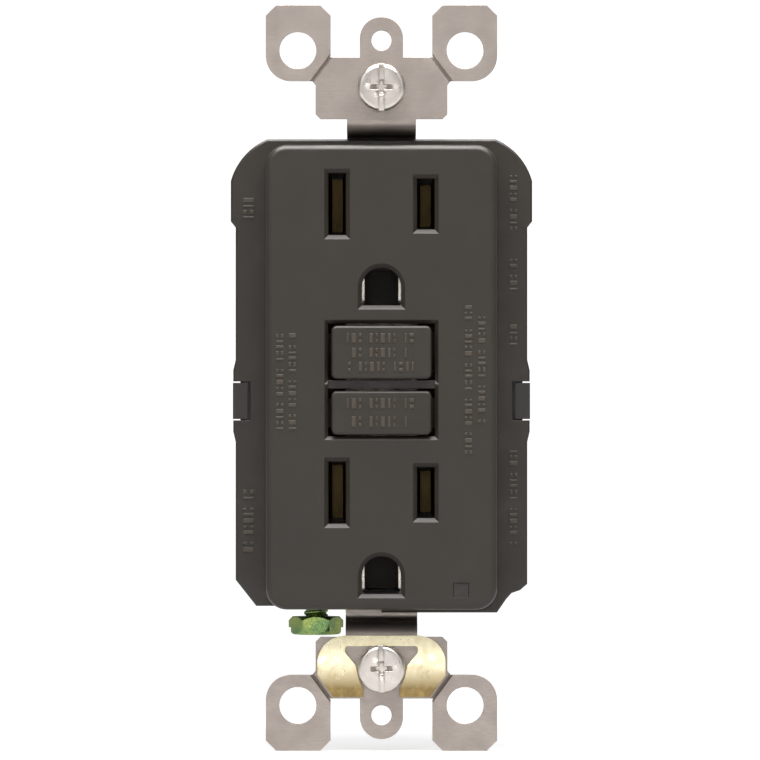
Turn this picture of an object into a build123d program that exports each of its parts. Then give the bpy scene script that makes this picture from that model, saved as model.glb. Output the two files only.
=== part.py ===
"""A duplex receptacle with a ground-fault interrupter, as an assembly of separate pieces.

Frame, in millimetres: +X to the right seen from the front, +Y into the wall, +Z up.
The origin lies on the wall plane, on the back of the mounting ears, midway between the mounting screws.
The device is shown set: contacts closed, reset button in, every terminal screw backed out ready for a wire.
"""

from build123d import *
import math
import os

# ---------------------------------------------------------------- driving sizes
BOX_SCREW_SPACING = 83.34  # the two screws that hold the device to its box
PLATE_SCREW_SPACING = 96.84  # the two tapped tabs that hold the cover plate
STRAP_LENGTH = 107.0
NECK_HALF = 5.15  # half the width of the strap behind the body and of its lower neck
NECK_TOP_HALF = 4.95
NECK_BEND_Z = 37.0  # where the necks start to bend back
TAB_RISE = 0.3  # the tapped tabs are rounded about a point this far beyond their holes
STRAP_THICK = 1.3
STRAP_OFFSET = 4.5  # from the wall plane back to the strap's inner run
FACE_WIDTH = 33.1
FACE_HEIGHT = 66.5
FACE_MID_Z = 0.1
FACE_PROUD = 6.3  # face in front of the wall plane
FACE_WALL = 1.8
FACE_CORNER = 3.0
FACE_EDGE_ROUND = 0.9
BODY_HALF = 20.95  # half width of the shoulder
EAR_HALF = 21.65  # half width of its wider upper ears
BODY_TOP = 34.3
BODY_BOTTOM = -33.7
BOTTOM_LIFT = 0.95  # the bottom edge is higher over the ground screw
SHOULDER_Y = 0.8
SHOULDER_THICK = 1.6
SKIRT_WALL = 1.4
PARTING_Y = 7.0  # where the cover meets the rear housing
HOUSING_INSET = 0.6  # housing wall behind the cover's edge
HOUSING_WALL = 1.5
HOUSING_BACK = 28.6
BACK_WALL = 1.5

BLADE_SPACING = 12.7
BLADE_THICK = 1.52
GROUND_DROP = 11.9  # ground pin below the blades
OUTLET_UPPER_Z = 24.9
OUTLET_LOWER_Z = -16.4
SLOT_WIDTH = 2.5
NEUTRAL_SLOT_HEIGHT = 8.9
HOT_SLOT_HEIGHT = 7.3
GROUND_HOLE_R = 2.8
GROUND_HOLE_FLAT = 2.6  # flat edge below the pin's axis
GROUND_PIN_R = 2.38
SLOT_CHAMFER = 0.6
BUTTON_CHAMFER = 0.5
BAR_RECESS = 0.55  # how far the bar between the buttons lies behind the face

BUTTON_WIDTH = 14.3
BUTTON_SIDE_GAP = 0.5
RESET_Z = 3.66
RESET_HEIGHT = 7.6
RESET_PROUD = 0.9
RESET_TRAVEL = 2.2  # out to the tripped position
TEST_Z = -5.0
TEST_HEIGHT = 6.3
TEST_PROUD = 0.35
TEST_TRAVEL = 1.5
TEST_STEM = 2.1
TEST_BLADE_Y = 6.6
TEST_ANCHOR_X = -7.9
TEST_FLOOR = 11.2
BUTTON_TOP_GAP = 0.35
BUTTON_LOW_GAP = 0.2
BUTTON_WALL = 1.1
GUIDE_END_Y = -1.2

TERMINAL_Z = 16.5  # load terminals above, line terminals below
TERMINAL_Y = 16.6
TERMINAL_SCREW_R = 2.05
TERMINAL_HEAD_R = 4.1
TERMINAL_HEAD_THICK = 2.3
WIRE_GAP = 2.4
CLAMP_THICK = 1.4
TERMINAL_THICK = 1.2
TERMINAL_FACE_X = 14.0
POCKET_HALF_Z = 5.5
POCKET_HALF_Y = 5.7
WIRE_HOLE_R = 1.65
WIRE_HOLE_OFFSET = 3.7

CARRIER_HALF = 10.9
CARRIER_FRONT = 4.7
CARRIER_FLOOR = 13.1
CARRIER_BACK = 14.4
CARRIER_TOP = 31.2
CARRIER_LOW = -30.5
GUIDE_R = 0.8  # posts that guide the latch block

CONTACT_THICK = 0.7
BUS_FACE_X = 9.6
BUS_THICK = 0.8
BUS_Y = (7.0, 11.0)

BOARD_FRONT = 24.5
BOARD_THICK = 1.6
BOARD_LOW = -30.4

SENSOR_Z = -21.0
SENSOR_R = 7.2
SENSOR_BORE_R = 3.5
SENSOR_Y = 16.3
CORE_HEIGHT = 3.4
CORE_GAP = 0.2
CONDUCTOR_THICK = 0.6

COIL_Y = 20.2
COIL_R = 4.0
COIL_TUBE_R = 2.7
COIL_Z = (11.7, 26.2)
FLANGE_THICK = 0.8
FRAME_THICK = 0.8
PLUNGER_R = 2.0
PLUNGER_ROD_R = 0.9
PLUNGER_TOP = 31.3
PLUNGER_CAP = 0.7

PIN_R = 1.2
PIN_HEAD_R = 1.85
PIN_TAPER = 1.3
SLIDER_Y = 18.3
SLIDER_THICK = 0.8
SLIDER_TRAVEL = 2.2
SLIDER_HALF = 3.5
SLIDER_END_Z = 9.3
SLIDER_HOOK_DROP = 1.35  # hook edge below the pin's axis
PLUNGER_FREE = 0.66  # rod clear of the slider at rest

ARM_X = (6.9, 9.9)
ARM_Y = 18.4
ARM_THICK = 0.5
ARM_ROOT_Z = -9.4
ARM_TIP_Z = 6.6
CONTACT_R = 1.3
CONTACT_HEIGHT = 0.8
CONTACT_Z = 5.0

MOUNT_SCREW_R = 1.75
MOUNT_NECK_R = 1.4  # plain neck under the head, turning in the retainer
MOUNT_HEAD_R = 3.4
MOUNT_HEAD_THICK = 2.3
MOUNT_SCREW_LENGTH = 20.0
MOUNT_HEAD_GAP = 1.2  # head stands off the strap until it is driven home
RETAINER_THICK = 0.8
RETAINER_GAP = 1.5

GROUND_SCREW_X = -9.45
GROUND_SCREW_Y = 9.0
GROUND_SCREW_R = 1.75
GROUND_HEAD_Z = -34.4
GROUND_HEAD_THICK = 2.7
GROUND_HEAD_ACROSS = 7.9
GROUND_TAB_Z = (-31.6, -30.3)

ASSEMBLY_X = 17.4
ASSEMBLY_Z = 26.5
ASSEMBLY_R = 1.2
BOSS_R = 2.6

INDICATOR_X = 11.4
INDICATOR_Z = -30.3
INDICATOR_SIZE = (2.2, 2.0)
LAMP_Z = -29.1
LAMP_Y = 20.2

CLIP_Z = (-5.9, -0.7)
CLIP_THICK = 0.5
CLIP_TOP_Z = -36.95
CLIP_LOW_Z = -45.75
CLIP_BOW = 0.45  # how far the middle of the grounding clip stands off the strap
RIVET_R = 0.45
STAKE_R = 0.75  # stakes that hold the grounding clip
STAKE_X = 6.3
STAKE_Z = -42.2
RUN = 0.1  # running clearance round sliding pieces
BIG = 60.0


# ---------------------------------------------------------------- building blocks
def block(x0, x1, y0, y1, z0, z1):
    """A box between two corners."""
    return Pos((x0 + x1) / 2, (y0 + y1) / 2, (z0 + z1) / 2) * Box(abs(x1 - x0), abs(y1 - y0), abs(z1 - z0))


def rod(axis, r, start, end, u=0.0, v=0.0):
    """A cylinder along X, Y or Z from start to end, at (u, v) in the two other directions, in X, Y, Z order."""
    mid, length = (start + end) / 2, abs(end - start)
    if axis == "x":
        return Pos(mid, u, v) * Rot(0, 90, 0) * Cylinder(r, length)
    if axis == "y":
        return Pos(u, mid, v) * Rot(90, 0, 0) * Cylinder(r, length)
    return Pos(u, v, mid) * Cylinder(r, length)


def prism(sketch, y0, y1):
    """A sketch drawn in X and Z, extruded from y0 to y1."""
    plane = Plane(origin=(0, y1, 0), x_dir=(1, 0, 0), z_dir=(0, -1, 0))
    return extrude(plane * sketch, amount=y1 - y0)


def side_prism(sketch, x0, x1):
    """A sketch drawn in Y and Z, extruded from x0 to x1."""
    return extrude(Plane(origin=(x0, 0, 0), x_dir=(0, 1, 0), z_dir=(1, 0, 0)) * sketch, amount=x1 - x0)


def loop(*points):
    """A closed polygon face through the points."""
    return make_face(Polyline(*points, close=True))


def spin(profile, x, z):
    """A profile of (radius, y) points turned about the Y line through x and z."""
    face = make_face(Polyline(*[(r, y, 0) for r, y in profile], close=True))
    return Pos(x, 0, z) * revolve(face, axis=Axis.Y)


def spring(wire, coil_r, length, turns):
    """A round-wire helical spring along Z, from 0 to length."""
    height = length - wire
    path = Helix(pitch=height / turns, height=height, radius=coil_r)
    start = Plane(origin=path @ 0, z_dir=path % 0)
    return Pos(0, 0, wire / 2) * sweep(start * Circle(wire / 2), path=path)


def left(shape):
    """The mirror image on the neutral side."""
    return mirror(shape, about=Plane.YZ)


def both(shape):
    """A piece and its mirror image."""
    return Compound(children=[*shape.solids(), *left(shape).solids()])


# ---------------------------------------------------------------- outlines
def shoulder_outline():
    """The cover's outline: rounded upper corners, wider upper ears, a low bulge by each clip, cut lower corners."""
    top_half, ear_arc_z, ear_low = 16.4, 28.3, 21.6
    bulge, bulge_top, bulge_low = 0.35, 2.6, -9.2
    low_left = BODY_BOTTOM + BOTTOM_LIFT
    right = [
        (EAR_HALF, ear_arc_z),
        (EAR_HALF, ear_low + 0.9),
        (BODY_HALF, ear_low),
        (BODY_HALF, bulge_top),
        (BODY_HALF + bulge, bulge_top - 1.5),
        (BODY_HALF + bulge, bulge_low + 1.5),
        (BODY_HALF, bulge_low),
    ]
    corner = [(BODY_HALF, -29.6), (19.9, -30.5), (18.7, -30.9), (17.9, -31.8), (16.6, BODY_BOTTOM)]
    bottom = [(0, BODY_BOTTOM), (0, low_left), (-18.0, low_left), (-BODY_HALF, -29.0)]
    side = [(-x, z) for x, z in reversed(right)]
    lines = Polyline(*right, *corner, *bottom, *side)
    arc_right = ThreePointArc((top_half, BODY_TOP), (19.75, 31.85), (EAR_HALF, ear_arc_z))
    arc_left = ThreePointArc((-EAR_HALF, ear_arc_z), (-19.75, 31.85), (-top_half, BODY_TOP))
    return make_face([lines, arc_left, Line((-top_half, BODY_TOP), (top_half, BODY_TOP)), arc_right])


def housing_outline(inset=0.0):
    """The rear housing's outline, an octagon with cut corners."""
    half = BODY_HALF - HOUSING_INSET - inset
    top = BODY_TOP - HOUSING_INSET - inset
    low = BODY_BOTTOM + BOTTOM_LIFT + HOUSING_INSET + inset
    cut_top, cut_low = 5.2 - 0.5 * inset, 3.2 - 0.5 * inset
    points = [
        (half - cut_top, top), (half, top - cut_top), (half, low + cut_low), (half - cut_low, low),
        (-half + cut_low, low), (-half, low + cut_low), (-half, top - cut_top), (-half + cut_top, top),
    ]
    face = loop(*points)
    return fillet(face.vertices(), 1.2) if inset == 0 else face


def outlets():
    """The blade height of each outlet."""
    return (OUTLET_UPPER_Z, OUTLET_LOWER_Z)


def ground_hole(grow=0.0):
    """A ground pin hole: half round above, flat below, about its own pin's axis."""
    r = GROUND_HOLE_R + grow
    flat = -GROUND_HOLE_FLAT - grow
    arc = ThreePointArc((r, 0), (0, r), (-r, 0))
    return make_face([arc, Polyline((-r, 0), (-r, flat), (r, flat), (r, 0))])


def button_opening(z, height):
    """The hole in the face that a button slides in, as a sketch."""
    tall = height + BUTTON_TOP_GAP + BUTTON_LOW_GAP
    mid = z + (BUTTON_TOP_GAP - BUTTON_LOW_GAP) / 2
    return Pos(0, mid) * Rectangle(BUTTON_WIDTH + 2 * BUTTON_SIDE_GAP, tall)


# ---------------------------------------------------------------- housing pieces
def front_cover():
    """Face and shoulder in one shell, with plug slots, button wells and screw bosses."""
    face_y = -FACE_PROUD
    inner_y = face_y + FACE_WALL
    frame = Pos(0, FACE_MID_Z) * RectangleRounded(FACE_WIDTH, FACE_HEIGHT, FACE_CORNER)
    face = prism(frame, face_y, SHOULDER_Y + 0.5)
    face = fillet(face.faces().sort_by(Axis.Y)[0].edges(), FACE_EDGE_ROUND)
    skirt = prism(shoulder_outline(), SHOULDER_Y, PARTING_Y)
    rim = skirt.faces().sort_by(Axis.Y)[0].outer_wire().edges()
    skirt = chamfer(rim, 0.25)
    body = face + skirt
    room = Pos(0, FACE_MID_Z) * RectangleRounded(FACE_WIDTH - 3.4, FACE_HEIGHT - 3.4, FACE_CORNER - 1.7)
    body -= prism(room, inner_y, SHOULDER_Y + SHOULDER_THICK)
    inside = offset(shoulder_outline(), amount=-SKIRT_WALL, kind=Kind.INTERSECTION)
    body -= prism(inside, SHOULDER_Y + SHOULDER_THICK, PARTING_Y)

    guide_back = STRAP_OFFSET - STRAP_THICK - 0.3
    for z in outlets():
        for sx, tall in ((-1, NEUTRAL_SLOT_HEIGHT), (1, HOT_SLOT_HEIGHT)):
            x = sx * BLADE_SPACING / 2
            body += block(x - 2.3, x + 2.3, inner_y - 0.1, guide_back, z - tall / 2 - 1.2, z + tall / 2 + 1.2)
        body += prism(Pos(0, z - GROUND_DROP) * ground_hole(1.7), inner_y - 0.1, guide_back)
    for z, tall in ((RESET_Z, RESET_HEIGHT), (TEST_Z, TEST_HEIGHT)):
        wall = offset(button_opening(z, tall), amount=0.95, kind=Kind.INTERSECTION)
        body += prism(wall, inner_y - 0.1, GUIDE_END_Y)
    for sx in (-1, 1):
        for sz in (-1, 1):
            body += rod("y", BOSS_R - 0.4, SHOULDER_Y + 0.5, PARTING_Y, sx * ASSEMBLY_X, sz * ASSEMBLY_Z)
    x, z = INDICATOR_X, INDICATOR_Z
    wide, high = INDICATOR_SIZE
    body += block(x - wide / 2 - 0.9, x + wide / 2 + 0.9, inner_y - 0.1, SHOULDER_Y, z - high / 2 - 0.6, z + high / 2 + 0.9)

    for z in outlets():
        for sx, tall in ((-1, NEUTRAL_SLOT_HEIGHT), (1, HOT_SLOT_HEIGHT)):
            body -= prism(Pos(sx * BLADE_SPACING / 2, z) * Rectangle(SLOT_WIDTH, tall), face_y - 1, PARTING_Y)
        body -= prism(Pos(0, z - GROUND_DROP) * ground_hole(), face_y - 1, PARTING_Y)
    for z, tall in ((RESET_Z, RESET_HEIGHT), (TEST_Z, TEST_HEIGHT)):
        body -= prism(button_opening(z, tall), face_y - 1, PARTING_Y)
    for wide_one, size in ((True, BUTTON_CHAMFER), (False, SLOT_CHAMFER)):
        front = body.faces().filter_by(Axis.Y).sort_by(Axis.Y)[0]
        wires = [wire for wire in front.inner_wires() if (wire.bounding_box().size.X > 8) == wide_one]
        body = chamfer([edge for wire in wires for edge in wire.edges()], size)
    bar_low = TEST_Z + TEST_HEIGHT / 2 + BUTTON_TOP_GAP
    bar_high = RESET_Z - RESET_HEIGHT / 2 - BUTTON_LOW_GAP
    half = BUTTON_WIDTH / 2 + BUTTON_SIDE_GAP
    body -= block(-half, half, face_y - 1, face_y + BAR_RECESS, bar_low, bar_high)

    for z in outlets():
        body -= prism(Pos(0, z - GROUND_DROP) * ground_hole(0.65), -2.6, PARTING_Y)
    body -= block(x - wide / 2, x + wide / 2, face_y - 1, PARTING_Y, INDICATOR_Z - high / 2, INDICATOR_Z + high / 2)
    for sx in (-1, 1):
        for sz in (-1, 1):
            body -= rod("y", ASSEMBLY_R - 0.15, SHOULDER_Y + 1.0, PARTING_Y + 1, sx * ASSEMBLY_X, sz * ASSEMBLY_Z)
    neck = NECK_HALF + 0.2
    body -= block(-neck, neck, STRAP_OFFSET - STRAP_THICK - 0.1, PARTING_Y + 1, -BIG, BIG)
    body -= block(-13.8, -4.6, STRAP_OFFSET - STRAP_THICK - 0.1, PARTING_Y + 1, GROUND_TAB_Z[0] - 0.15, -27)
    low, high_z = CLIP_Z
    for sx in (-1, 1):
        body -= block(sx * 18.8, sx * 30, SHOULDER_Y - 1, SHOULDER_Y + 1.0, low - 0.2, high_z + 0.2)
        body -= block(sx * 19.9, sx * 30, SHOULDER_Y - 1, PARTING_Y + 1, low - 0.2, high_z + 0.2)
    return body


def terminal_sides():
    """(side, height) of the four wire terminals."""
    return [(sx, z) for sx in (-1, 1) for z in (TERMINAL_Z, -TERMINAL_Z)]


def pocket_wall_x():
    """Inner and outer face of the wall behind a terminal plate."""
    outer = TERMINAL_FACE_X - TERMINAL_THICK
    return outer - 1.4, outer


def ground_pocket():
    """Room in the lower left corner for the ground tab and its screw: x, z limits and depth."""
    return (-14.2, -6.0, -26.6, 14.0)


def rear_housing():
    """The back shell, with four open terminal pockets, wire holes, board posts and two clips."""
    wall_in, wall_out = pocket_wall_x()
    half = BODY_HALF - HOUSING_INSET
    shell = prism(housing_outline(), PARTING_Y, HOUSING_BACK)
    shell = chamfer(shell.faces().sort_by(Axis.Y)[-1].outer_wire().edges(), 1.0)
    shell -= prism(housing_outline(HOUSING_WALL), PARTING_Y, HOUSING_BACK - BACK_WALL)
    for sx, z in terminal_sides():
        shell += block(sx * wall_in, sx * half, PARTING_Y, HOUSING_BACK - 0.6, z - POCKET_HALF_Z - 1.4, z + POCKET_HALF_Z + 1.4)
    x0, x1, top, deep = ground_pocket()
    low = BODY_BOTTOM + BOTTOM_LIFT + HOUSING_INSET
    shell += block(x0 - 1.2, x1 + 1.2, PARTING_Y, deep + 1.2, low + 0.2, top + 1.2)
    for sx in (-1, 1):
        for sz in (-1, 1):
            shell += rod("y", BOSS_R, PARTING_Y, HOUSING_BACK - 0.5, sx * ASSEMBLY_X, sz * ASSEMBLY_Z)
        shell += rod("y", 1.3, CARRIER_BACK, HOUSING_BACK - 1, sx * 8.8, 29.4)
        shell += rod("y", 1.3, CARRIER_BACK, HOUSING_BACK - 1, sx * 9.0, -24.3)
    neck = NECK_HALF
    top_z, low_z = BODY_TOP - HOUSING_INSET, BODY_BOTTOM + BOTTOM_LIFT + HOUSING_INSET
    for z0, z1 in ((top_z - 1.4, top_z), (low_z, low_z + 1.4)):
        shell += block(-neck, neck, STRAP_OFFSET + 0.1, PARTING_Y + 0.5, z0, z1)

    y0, y1 = TERMINAL_Y - POCKET_HALF_Y, TERMINAL_Y + POCKET_HALF_Y
    leg_y0, leg_y1 = terminal_leg_y()
    for sx, z in terminal_sides():
        pocket = block(sx * wall_out, sx * 30, y0, y1, z - POCKET_HALF_Z, z + POCKET_HALF_Z)
        shell -= pocket
        shell -= rod("x", TERMINAL_SCREW_R + 0.35, sx * (wall_in - 0.5), sx * (wall_out + 0.5), TERMINAL_Y, z)
        plate_slot = (sx * (wall_out - 0.05), sx * (TERMINAL_FACE_X + 0.15))
        shell -= block(*plate_slot, PARTING_Y - 1, y0 + 0.1, z - 5.45, z + 4.75)
        if z > 0:
            shell -= block(sx * (wall_in - 0.5), sx * (wall_out + 0.5), PARTING_Y - 1, leg_y1 + 0.1, z - 1.65, z + 1.65)
        else:
            c0, c1 = conductor_z()
            back = SENSOR_Y - 0.3
            shell -= block(sx * (wall_in - 0.5), sx * (wall_out + 0.5), PARTING_Y - 1, back, c0 - 0.1, c1 + 0.1)
        for dz in (-WIRE_HOLE_OFFSET, WIRE_HOLE_OFFSET):
            x = sx * (TERMINAL_FACE_X + WIRE_GAP / 2)
            shell -= rod("y", WIRE_HOLE_R, y1 - 0.5, HOUSING_BACK + 1, x, z + dz)
            funnel = Cone(WIRE_HOLE_R, WIRE_HOLE_R + 0.9, 0.9)
            shell -= Pos(x, HOUSING_BACK - 0.45, z + dz) * Rot(-90, 0, 0) * funnel
    shell -= block(x0, x1, PARTING_Y - 1, deep, -BIG, top)
    pin_low = OUTLET_LOWER_Z - GROUND_DROP - GROUND_PIN_R
    shell -= block(-3.3, 3.3, PARTING_Y - 1, 15.4, pin_low - 0.4, pin_low + 2)
    for sx in (-1, 1):
        for sz in (-1, 1):
            shell -= rod("y", ASSEMBLY_R + 0.15, PARTING_Y - 1, HOUSING_BACK + 1, sx * ASSEMBLY_X, sz * ASSEMBLY_Z)
            shell -= rod("y", 2.45, HOUSING_BACK - 2.4, HOUSING_BACK + 1, sx * ASSEMBLY_X, sz * ASSEMBLY_Z)

    low, high = CLIP_Z
    tip = SHOULDER_Y + 0.1
    for sx in (-1, 1):
        shell += block(sx * 20.0, sx * 21.35, tip, 14.0, low, high)
        shell += block(sx * 19.2, sx * 20.2, tip, tip + 0.85, low, high)
    return shell


def bend(y, z, r, start, size):
    """A bend's arc in Y and Z about (y, z), from a start angle through a size, in degrees."""
    points = []
    for part in (0, 0.5, 1):
        angle = math.radians(start + size * part)
        points.append((y + r * math.cos(angle), z + r * math.sin(angle)))
    return ThreePointArc(*points)


def strap_profile():
    """Side outline of the strap's upper neck: two bends from the ear plane back to the inner run, in Y and Z."""
    t, small = STRAP_THICK, 0.8
    large = small + t
    front, back = -t, STRAP_OFFSET
    upper_y, lower_y, upper_z = front + large, back - large, NECK_BEND_Z
    lower_z = upper_z - large - small
    top, low = 38.4, 33.0
    return make_face([
        Polyline((0, upper_z), (0, top), (front, top), (front, upper_z)),
        bend(upper_y, upper_z, large, 180, 90),
        Line((upper_y, upper_z - large), (lower_y, upper_z - large)),
        bend(lower_y, lower_z, small, 90, -90),
        Polyline((back - t, lower_z), (back - t, low), (back, low), (back, lower_z)),
        bend(lower_y, lower_z, large, 0, 90),
        Line((lower_y, lower_z + large), (upper_y, upper_z - small)),
        bend(upper_y, upper_z, small, 270, -90),
    ])


def half_strap(neck_half):
    """Everything at one end of the strap: plate, two ears, tapped tab and neck, drawn at the top."""
    end = STRAP_LENGTH / 2
    plate_top, plate_low, plate_half = 46.0, 37.15, 9.45
    plate = loop(
        (-7.5, plate_top), (7.5, plate_top), (10.0, 42.7), (plate_half, 42.0), (plate_half, plate_low + 0.7),
        (plate_half - 0.7, plate_low), (-plate_half + 0.7, plate_low), (-plate_half, plate_low + 0.7),
        (-plate_half, 42.0), (-10.0, 42.7),
    )
    ear_in, ear_out, ear_low, cut, big = 7.3, 16.6, 42.6, 1.5, 3.6
    outline = [
        Polyline(
            (ear_out, ear_low + big), (ear_out, end - cut), (ear_out - cut, end), (ear_in + cut, end),
            (ear_in, end - cut), (ear_in, 46.2), (9.9, ear_low), (ear_out - big, ear_low),
        ),
        ThreePointArc(
            (ear_out - big, ear_low),
            (ear_out - big + big * math.sin(math.radians(45)), ear_low + big - big * math.cos(math.radians(45))),
            (ear_out, ear_low + big),
        ),
    ]
    ear = make_face(outline)
    shape = plate + ear + mirror(ear, about=Plane.YZ)
    tab_r = 3.1
    tapped_z = PLATE_SCREW_SPACING / 2
    shape += Pos(0, tapped_z + TAB_RISE) * Circle(tab_r)
    shape += Pos(0, (tapped_z + plate_top) / 2) * Rectangle(2 * tab_r, tapped_z - plate_top + 2 * TAB_RISE)
    shape -= Pos(0, tapped_z) * Circle(1.45)
    for sx in (-1, 1):
        shape -= Pos(sx * 12.0, 47.0) * Circle(2.65)
    shape -= Pos(0, BOX_SCREW_SPACING / 2) * SlotOverall(6.0, 4.2)
    flat = prism(shape, -STRAP_THICK, 0)
    for sx in (-1, 1):
        groove = Pos(sx * 8.6, -STRAP_THICK, 44.35) * Rot(0, sx * -36.5, 0) * Rot(0, 0, 45) * Box(0.45, 0.45, 5.5)
        flat -= groove
    neck = side_prism(strap_profile(), -neck_half, neck_half)
    return flat + neck


def mounting_strap():
    """The steel yoke: both ends, the waisted inner run and the ground terminal tab."""
    top = half_strap(NECK_TOP_HALF)
    bottom = mirror(half_strap(NECK_HALF), about=Plane.XY)
    y0, y1 = STRAP_OFFSET - STRAP_THICK, STRAP_OFFSET
    run = block(-NECK_HALF, NECK_HALF, y0, y1, -33.5, 33.5)
    for z in outlets():
        for sx in (-1, 1):
            run -= block(sx * 4.3, sx * 6, y0 - 1, y1 + 1, z - 5.6, z + 5.6)
        run -= rod("y", 3.6, y0 - 1, y1 + 1, 0, z - GROUND_DROP)
    run -= rod("y", 2.0, y0 - 1, y1 + 1, 0, RESET_Z)
    run -= block(-1.35, 1.35, y0 - 1, y1 + 1, TEST_Z - 1.35, TEST_Z + 1.35)
    z0, z1 = GROUND_TAB_Z
    wing = block(-13.6, -4.8, y0, y1, z0, -27.9)
    tab = block(-13.6, -6.3, y0, 12.6, z0, z1)
    tab = chamfer(tab.edges().filter_by(Axis.Z).group_by(Axis.Y)[-1], 1.2)
    strap = top + run + bottom + wing + tab
    for x, z in rivet_spots():
        strap -= rod("y", RIVET_R, y0 - 1, y1 + 1, x, z)
    strap -= rod("z", GROUND_SCREW_R + 0.05, z0 - 1, z1 + 1, GROUND_SCREW_X, GROUND_SCREW_Y)
    return strap


def grounding_clip():
    """A bowed brass plate that bears on the lower mounting screw, cut away round it."""
    top, low = CLIP_TOP_Z, CLIP_LOW_Z
    arch = [
        Line((-6.95, low), (6.95, low)),
        Polyline((6.95, low), (9.2, -42.6), (9.2, -40.6)),
        ThreePointArc((9.2, -40.6), (8.1, -38.2), (5.2, top)),
        Line((5.2, top), (-5.2, top)),
        ThreePointArc((-5.2, top), (-8.1, -38.2), (-9.2, -40.6)),
        Polyline((-9.2, -40.6), (-9.2, -42.6), (-6.95, low)),
    ]
    sheet = make_face(arch)
    window = loop(
        (-5.2, -38.45), (5.2, -38.45), (5.2, -39.4), (3.7, -41.2), (3.3, -43.0), (2.6, -44.6), (2.6, low - 1),
        (-2.6, low - 1), (-2.6, -44.6), (-3.3, -43.0), (-3.7, -41.2), (-5.2, -39.4),
    )
    window = fillet(window.vertices().filter_by(lambda v: v.Y > low), 0.4)
    sheet -= window
    blank = prism(sheet, -STRAP_THICK - 3, -STRAP_THICK)
    back = -STRAP_THICK
    front = back - CLIP_THICK
    mid = (top + low) / 2
    bow = make_face([
        ThreePointArc((back, low), (back - CLIP_BOW, mid), (back, top)),
        Line((back, top), (front, top)),
        ThreePointArc((front, top), (front - CLIP_BOW, mid), (front, low)),
        Line((front, low), (back, low)),
    ])
    clip = blank & side_prism(bow, -12, 12)
    for sx in (-1, 1):
        clip -= rod("y", STAKE_R + 0.03, -STRAP_THICK - 3, 0, sx * STAKE_X, STAKE_Z)
    return clip


def clip_rivets():
    """Two stakes that hold the grounding clip, spread over its face in four lobes."""
    front = -STRAP_THICK - CLIP_THICK - CLIP_BOW
    stakes = []
    for sx in (-1, 1):
        x, z = sx * STAKE_X, STAKE_Z
        stake = rod("y", STAKE_R, front - 0.2, -STRAP_THICK, x, z) + rod("y", STAKE_R + 0.3, front - 0.45, front - 0.1, x, z)
        for turn in (45, 135):
            stake -= Pos(x, front - 0.45, z) * Rot(0, turn, 0) * Box(2.4, 0.4, 0.34)
        stakes.append(stake)
    return Compound(children=[s for stake in stakes for s in stake.solids()])


def assembly_screws():
    """Four long screws from the back, through the housing into the cover."""
    screws = []
    for sx in (-1, 1):
        for sz in (-1, 1):
            x, z = sx * ASSEMBLY_X, sz * ASSEMBLY_Z
            head_y = HOUSING_BACK - 2.4
            shank = rod("y", ASSEMBLY_R - 0.18, SHOULDER_Y + 1.2, head_y, x, z)
            head = rod("y", 2.2, head_y, head_y + 1.7, x, z)
            head = fillet(head.edges().sort_by(Axis.Y)[-1], 0.6)
            screw = shank + head
            for turn in (0, 90):
                screw -= Pos(x, head_y + 1.7, z) * Rot(0, turn, 0) * Box(2.6, 1.8, 0.55)
            screws += screw.solids()
    return Compound(children=screws)


# ---------------------------------------------------------------- mounting screws
def mounting_screw(z):
    """A pan-head screw with a slot and a cross recess, standing off the strap."""
    under = -STRAP_THICK - MOUNT_HEAD_GAP
    top = under - MOUNT_HEAD_THICK
    head = rod("y", MOUNT_HEAD_R, top, under, 0, z)
    head = fillet(head.edges().sort_by(Axis.Y)[0], 1.1)
    end = under + MOUNT_SCREW_LENGTH
    neck, thread = MOUNT_NECK_R, RETAINER_GAP + RETAINER_THICK + 0.5
    shank = spin([
        (0, under - 0.3), (neck, under - 0.3), (neck, thread), (MOUNT_SCREW_R, thread), (MOUNT_SCREW_R, end - 0.8), (1.1, end), (0, end),
    ], 0, z)
    screw = head + shank
    screw -= block(-0.45, 0.45, top - 1, top + 0.8, z - 4, z + 4)
    for turn in (0, 90):
        screw -= Pos(0, top, z) * Rot(0, turn, 0) * Box(3.8, 2.8, 0.9)
    return screw


def screw_retainer(z):
    """A fibre washer that keeps a mounting screw in its slot."""
    plate = RectangleRounded(8.6, 8.0, 1.0)
    washer = prism(Pos(0, z) * plate, RETAINER_GAP, RETAINER_GAP + RETAINER_THICK)
    return washer - rod("y", MOUNT_NECK_R + 0.1, 0, 5, 0, z)


def ground_screw():
    """A hexagon-head slotted screw, head down, threaded up through the ground tab."""
    low = GROUND_HEAD_Z - GROUND_HEAD_THICK
    head = Pos(GROUND_SCREW_X, GROUND_SCREW_Y, low) * extrude(
        RegularPolygon(GROUND_HEAD_ACROSS / 2, 6, major_radius=False, rotation=30), amount=GROUND_HEAD_THICK
    )
    ball = Pos(GROUND_SCREW_X, GROUND_SCREW_Y, low + 8.0) * Sphere(8.75)
    dome = Pos(GROUND_SCREW_X, GROUND_SCREW_Y, GROUND_HEAD_Z - 8.0) * Sphere(8.85)
    head = head & ball & dome
    shank = rod("z", GROUND_SCREW_R, GROUND_HEAD_Z - 0.4, -27.6, GROUND_SCREW_X, GROUND_SCREW_Y)
    screw = head + shank
    screw -= block(GROUND_SCREW_X - 6, GROUND_SCREW_X + 6, GROUND_SCREW_Y - 0.55, GROUND_SCREW_Y + 0.55, low - 1, low + 1.1)
    return screw


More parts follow.
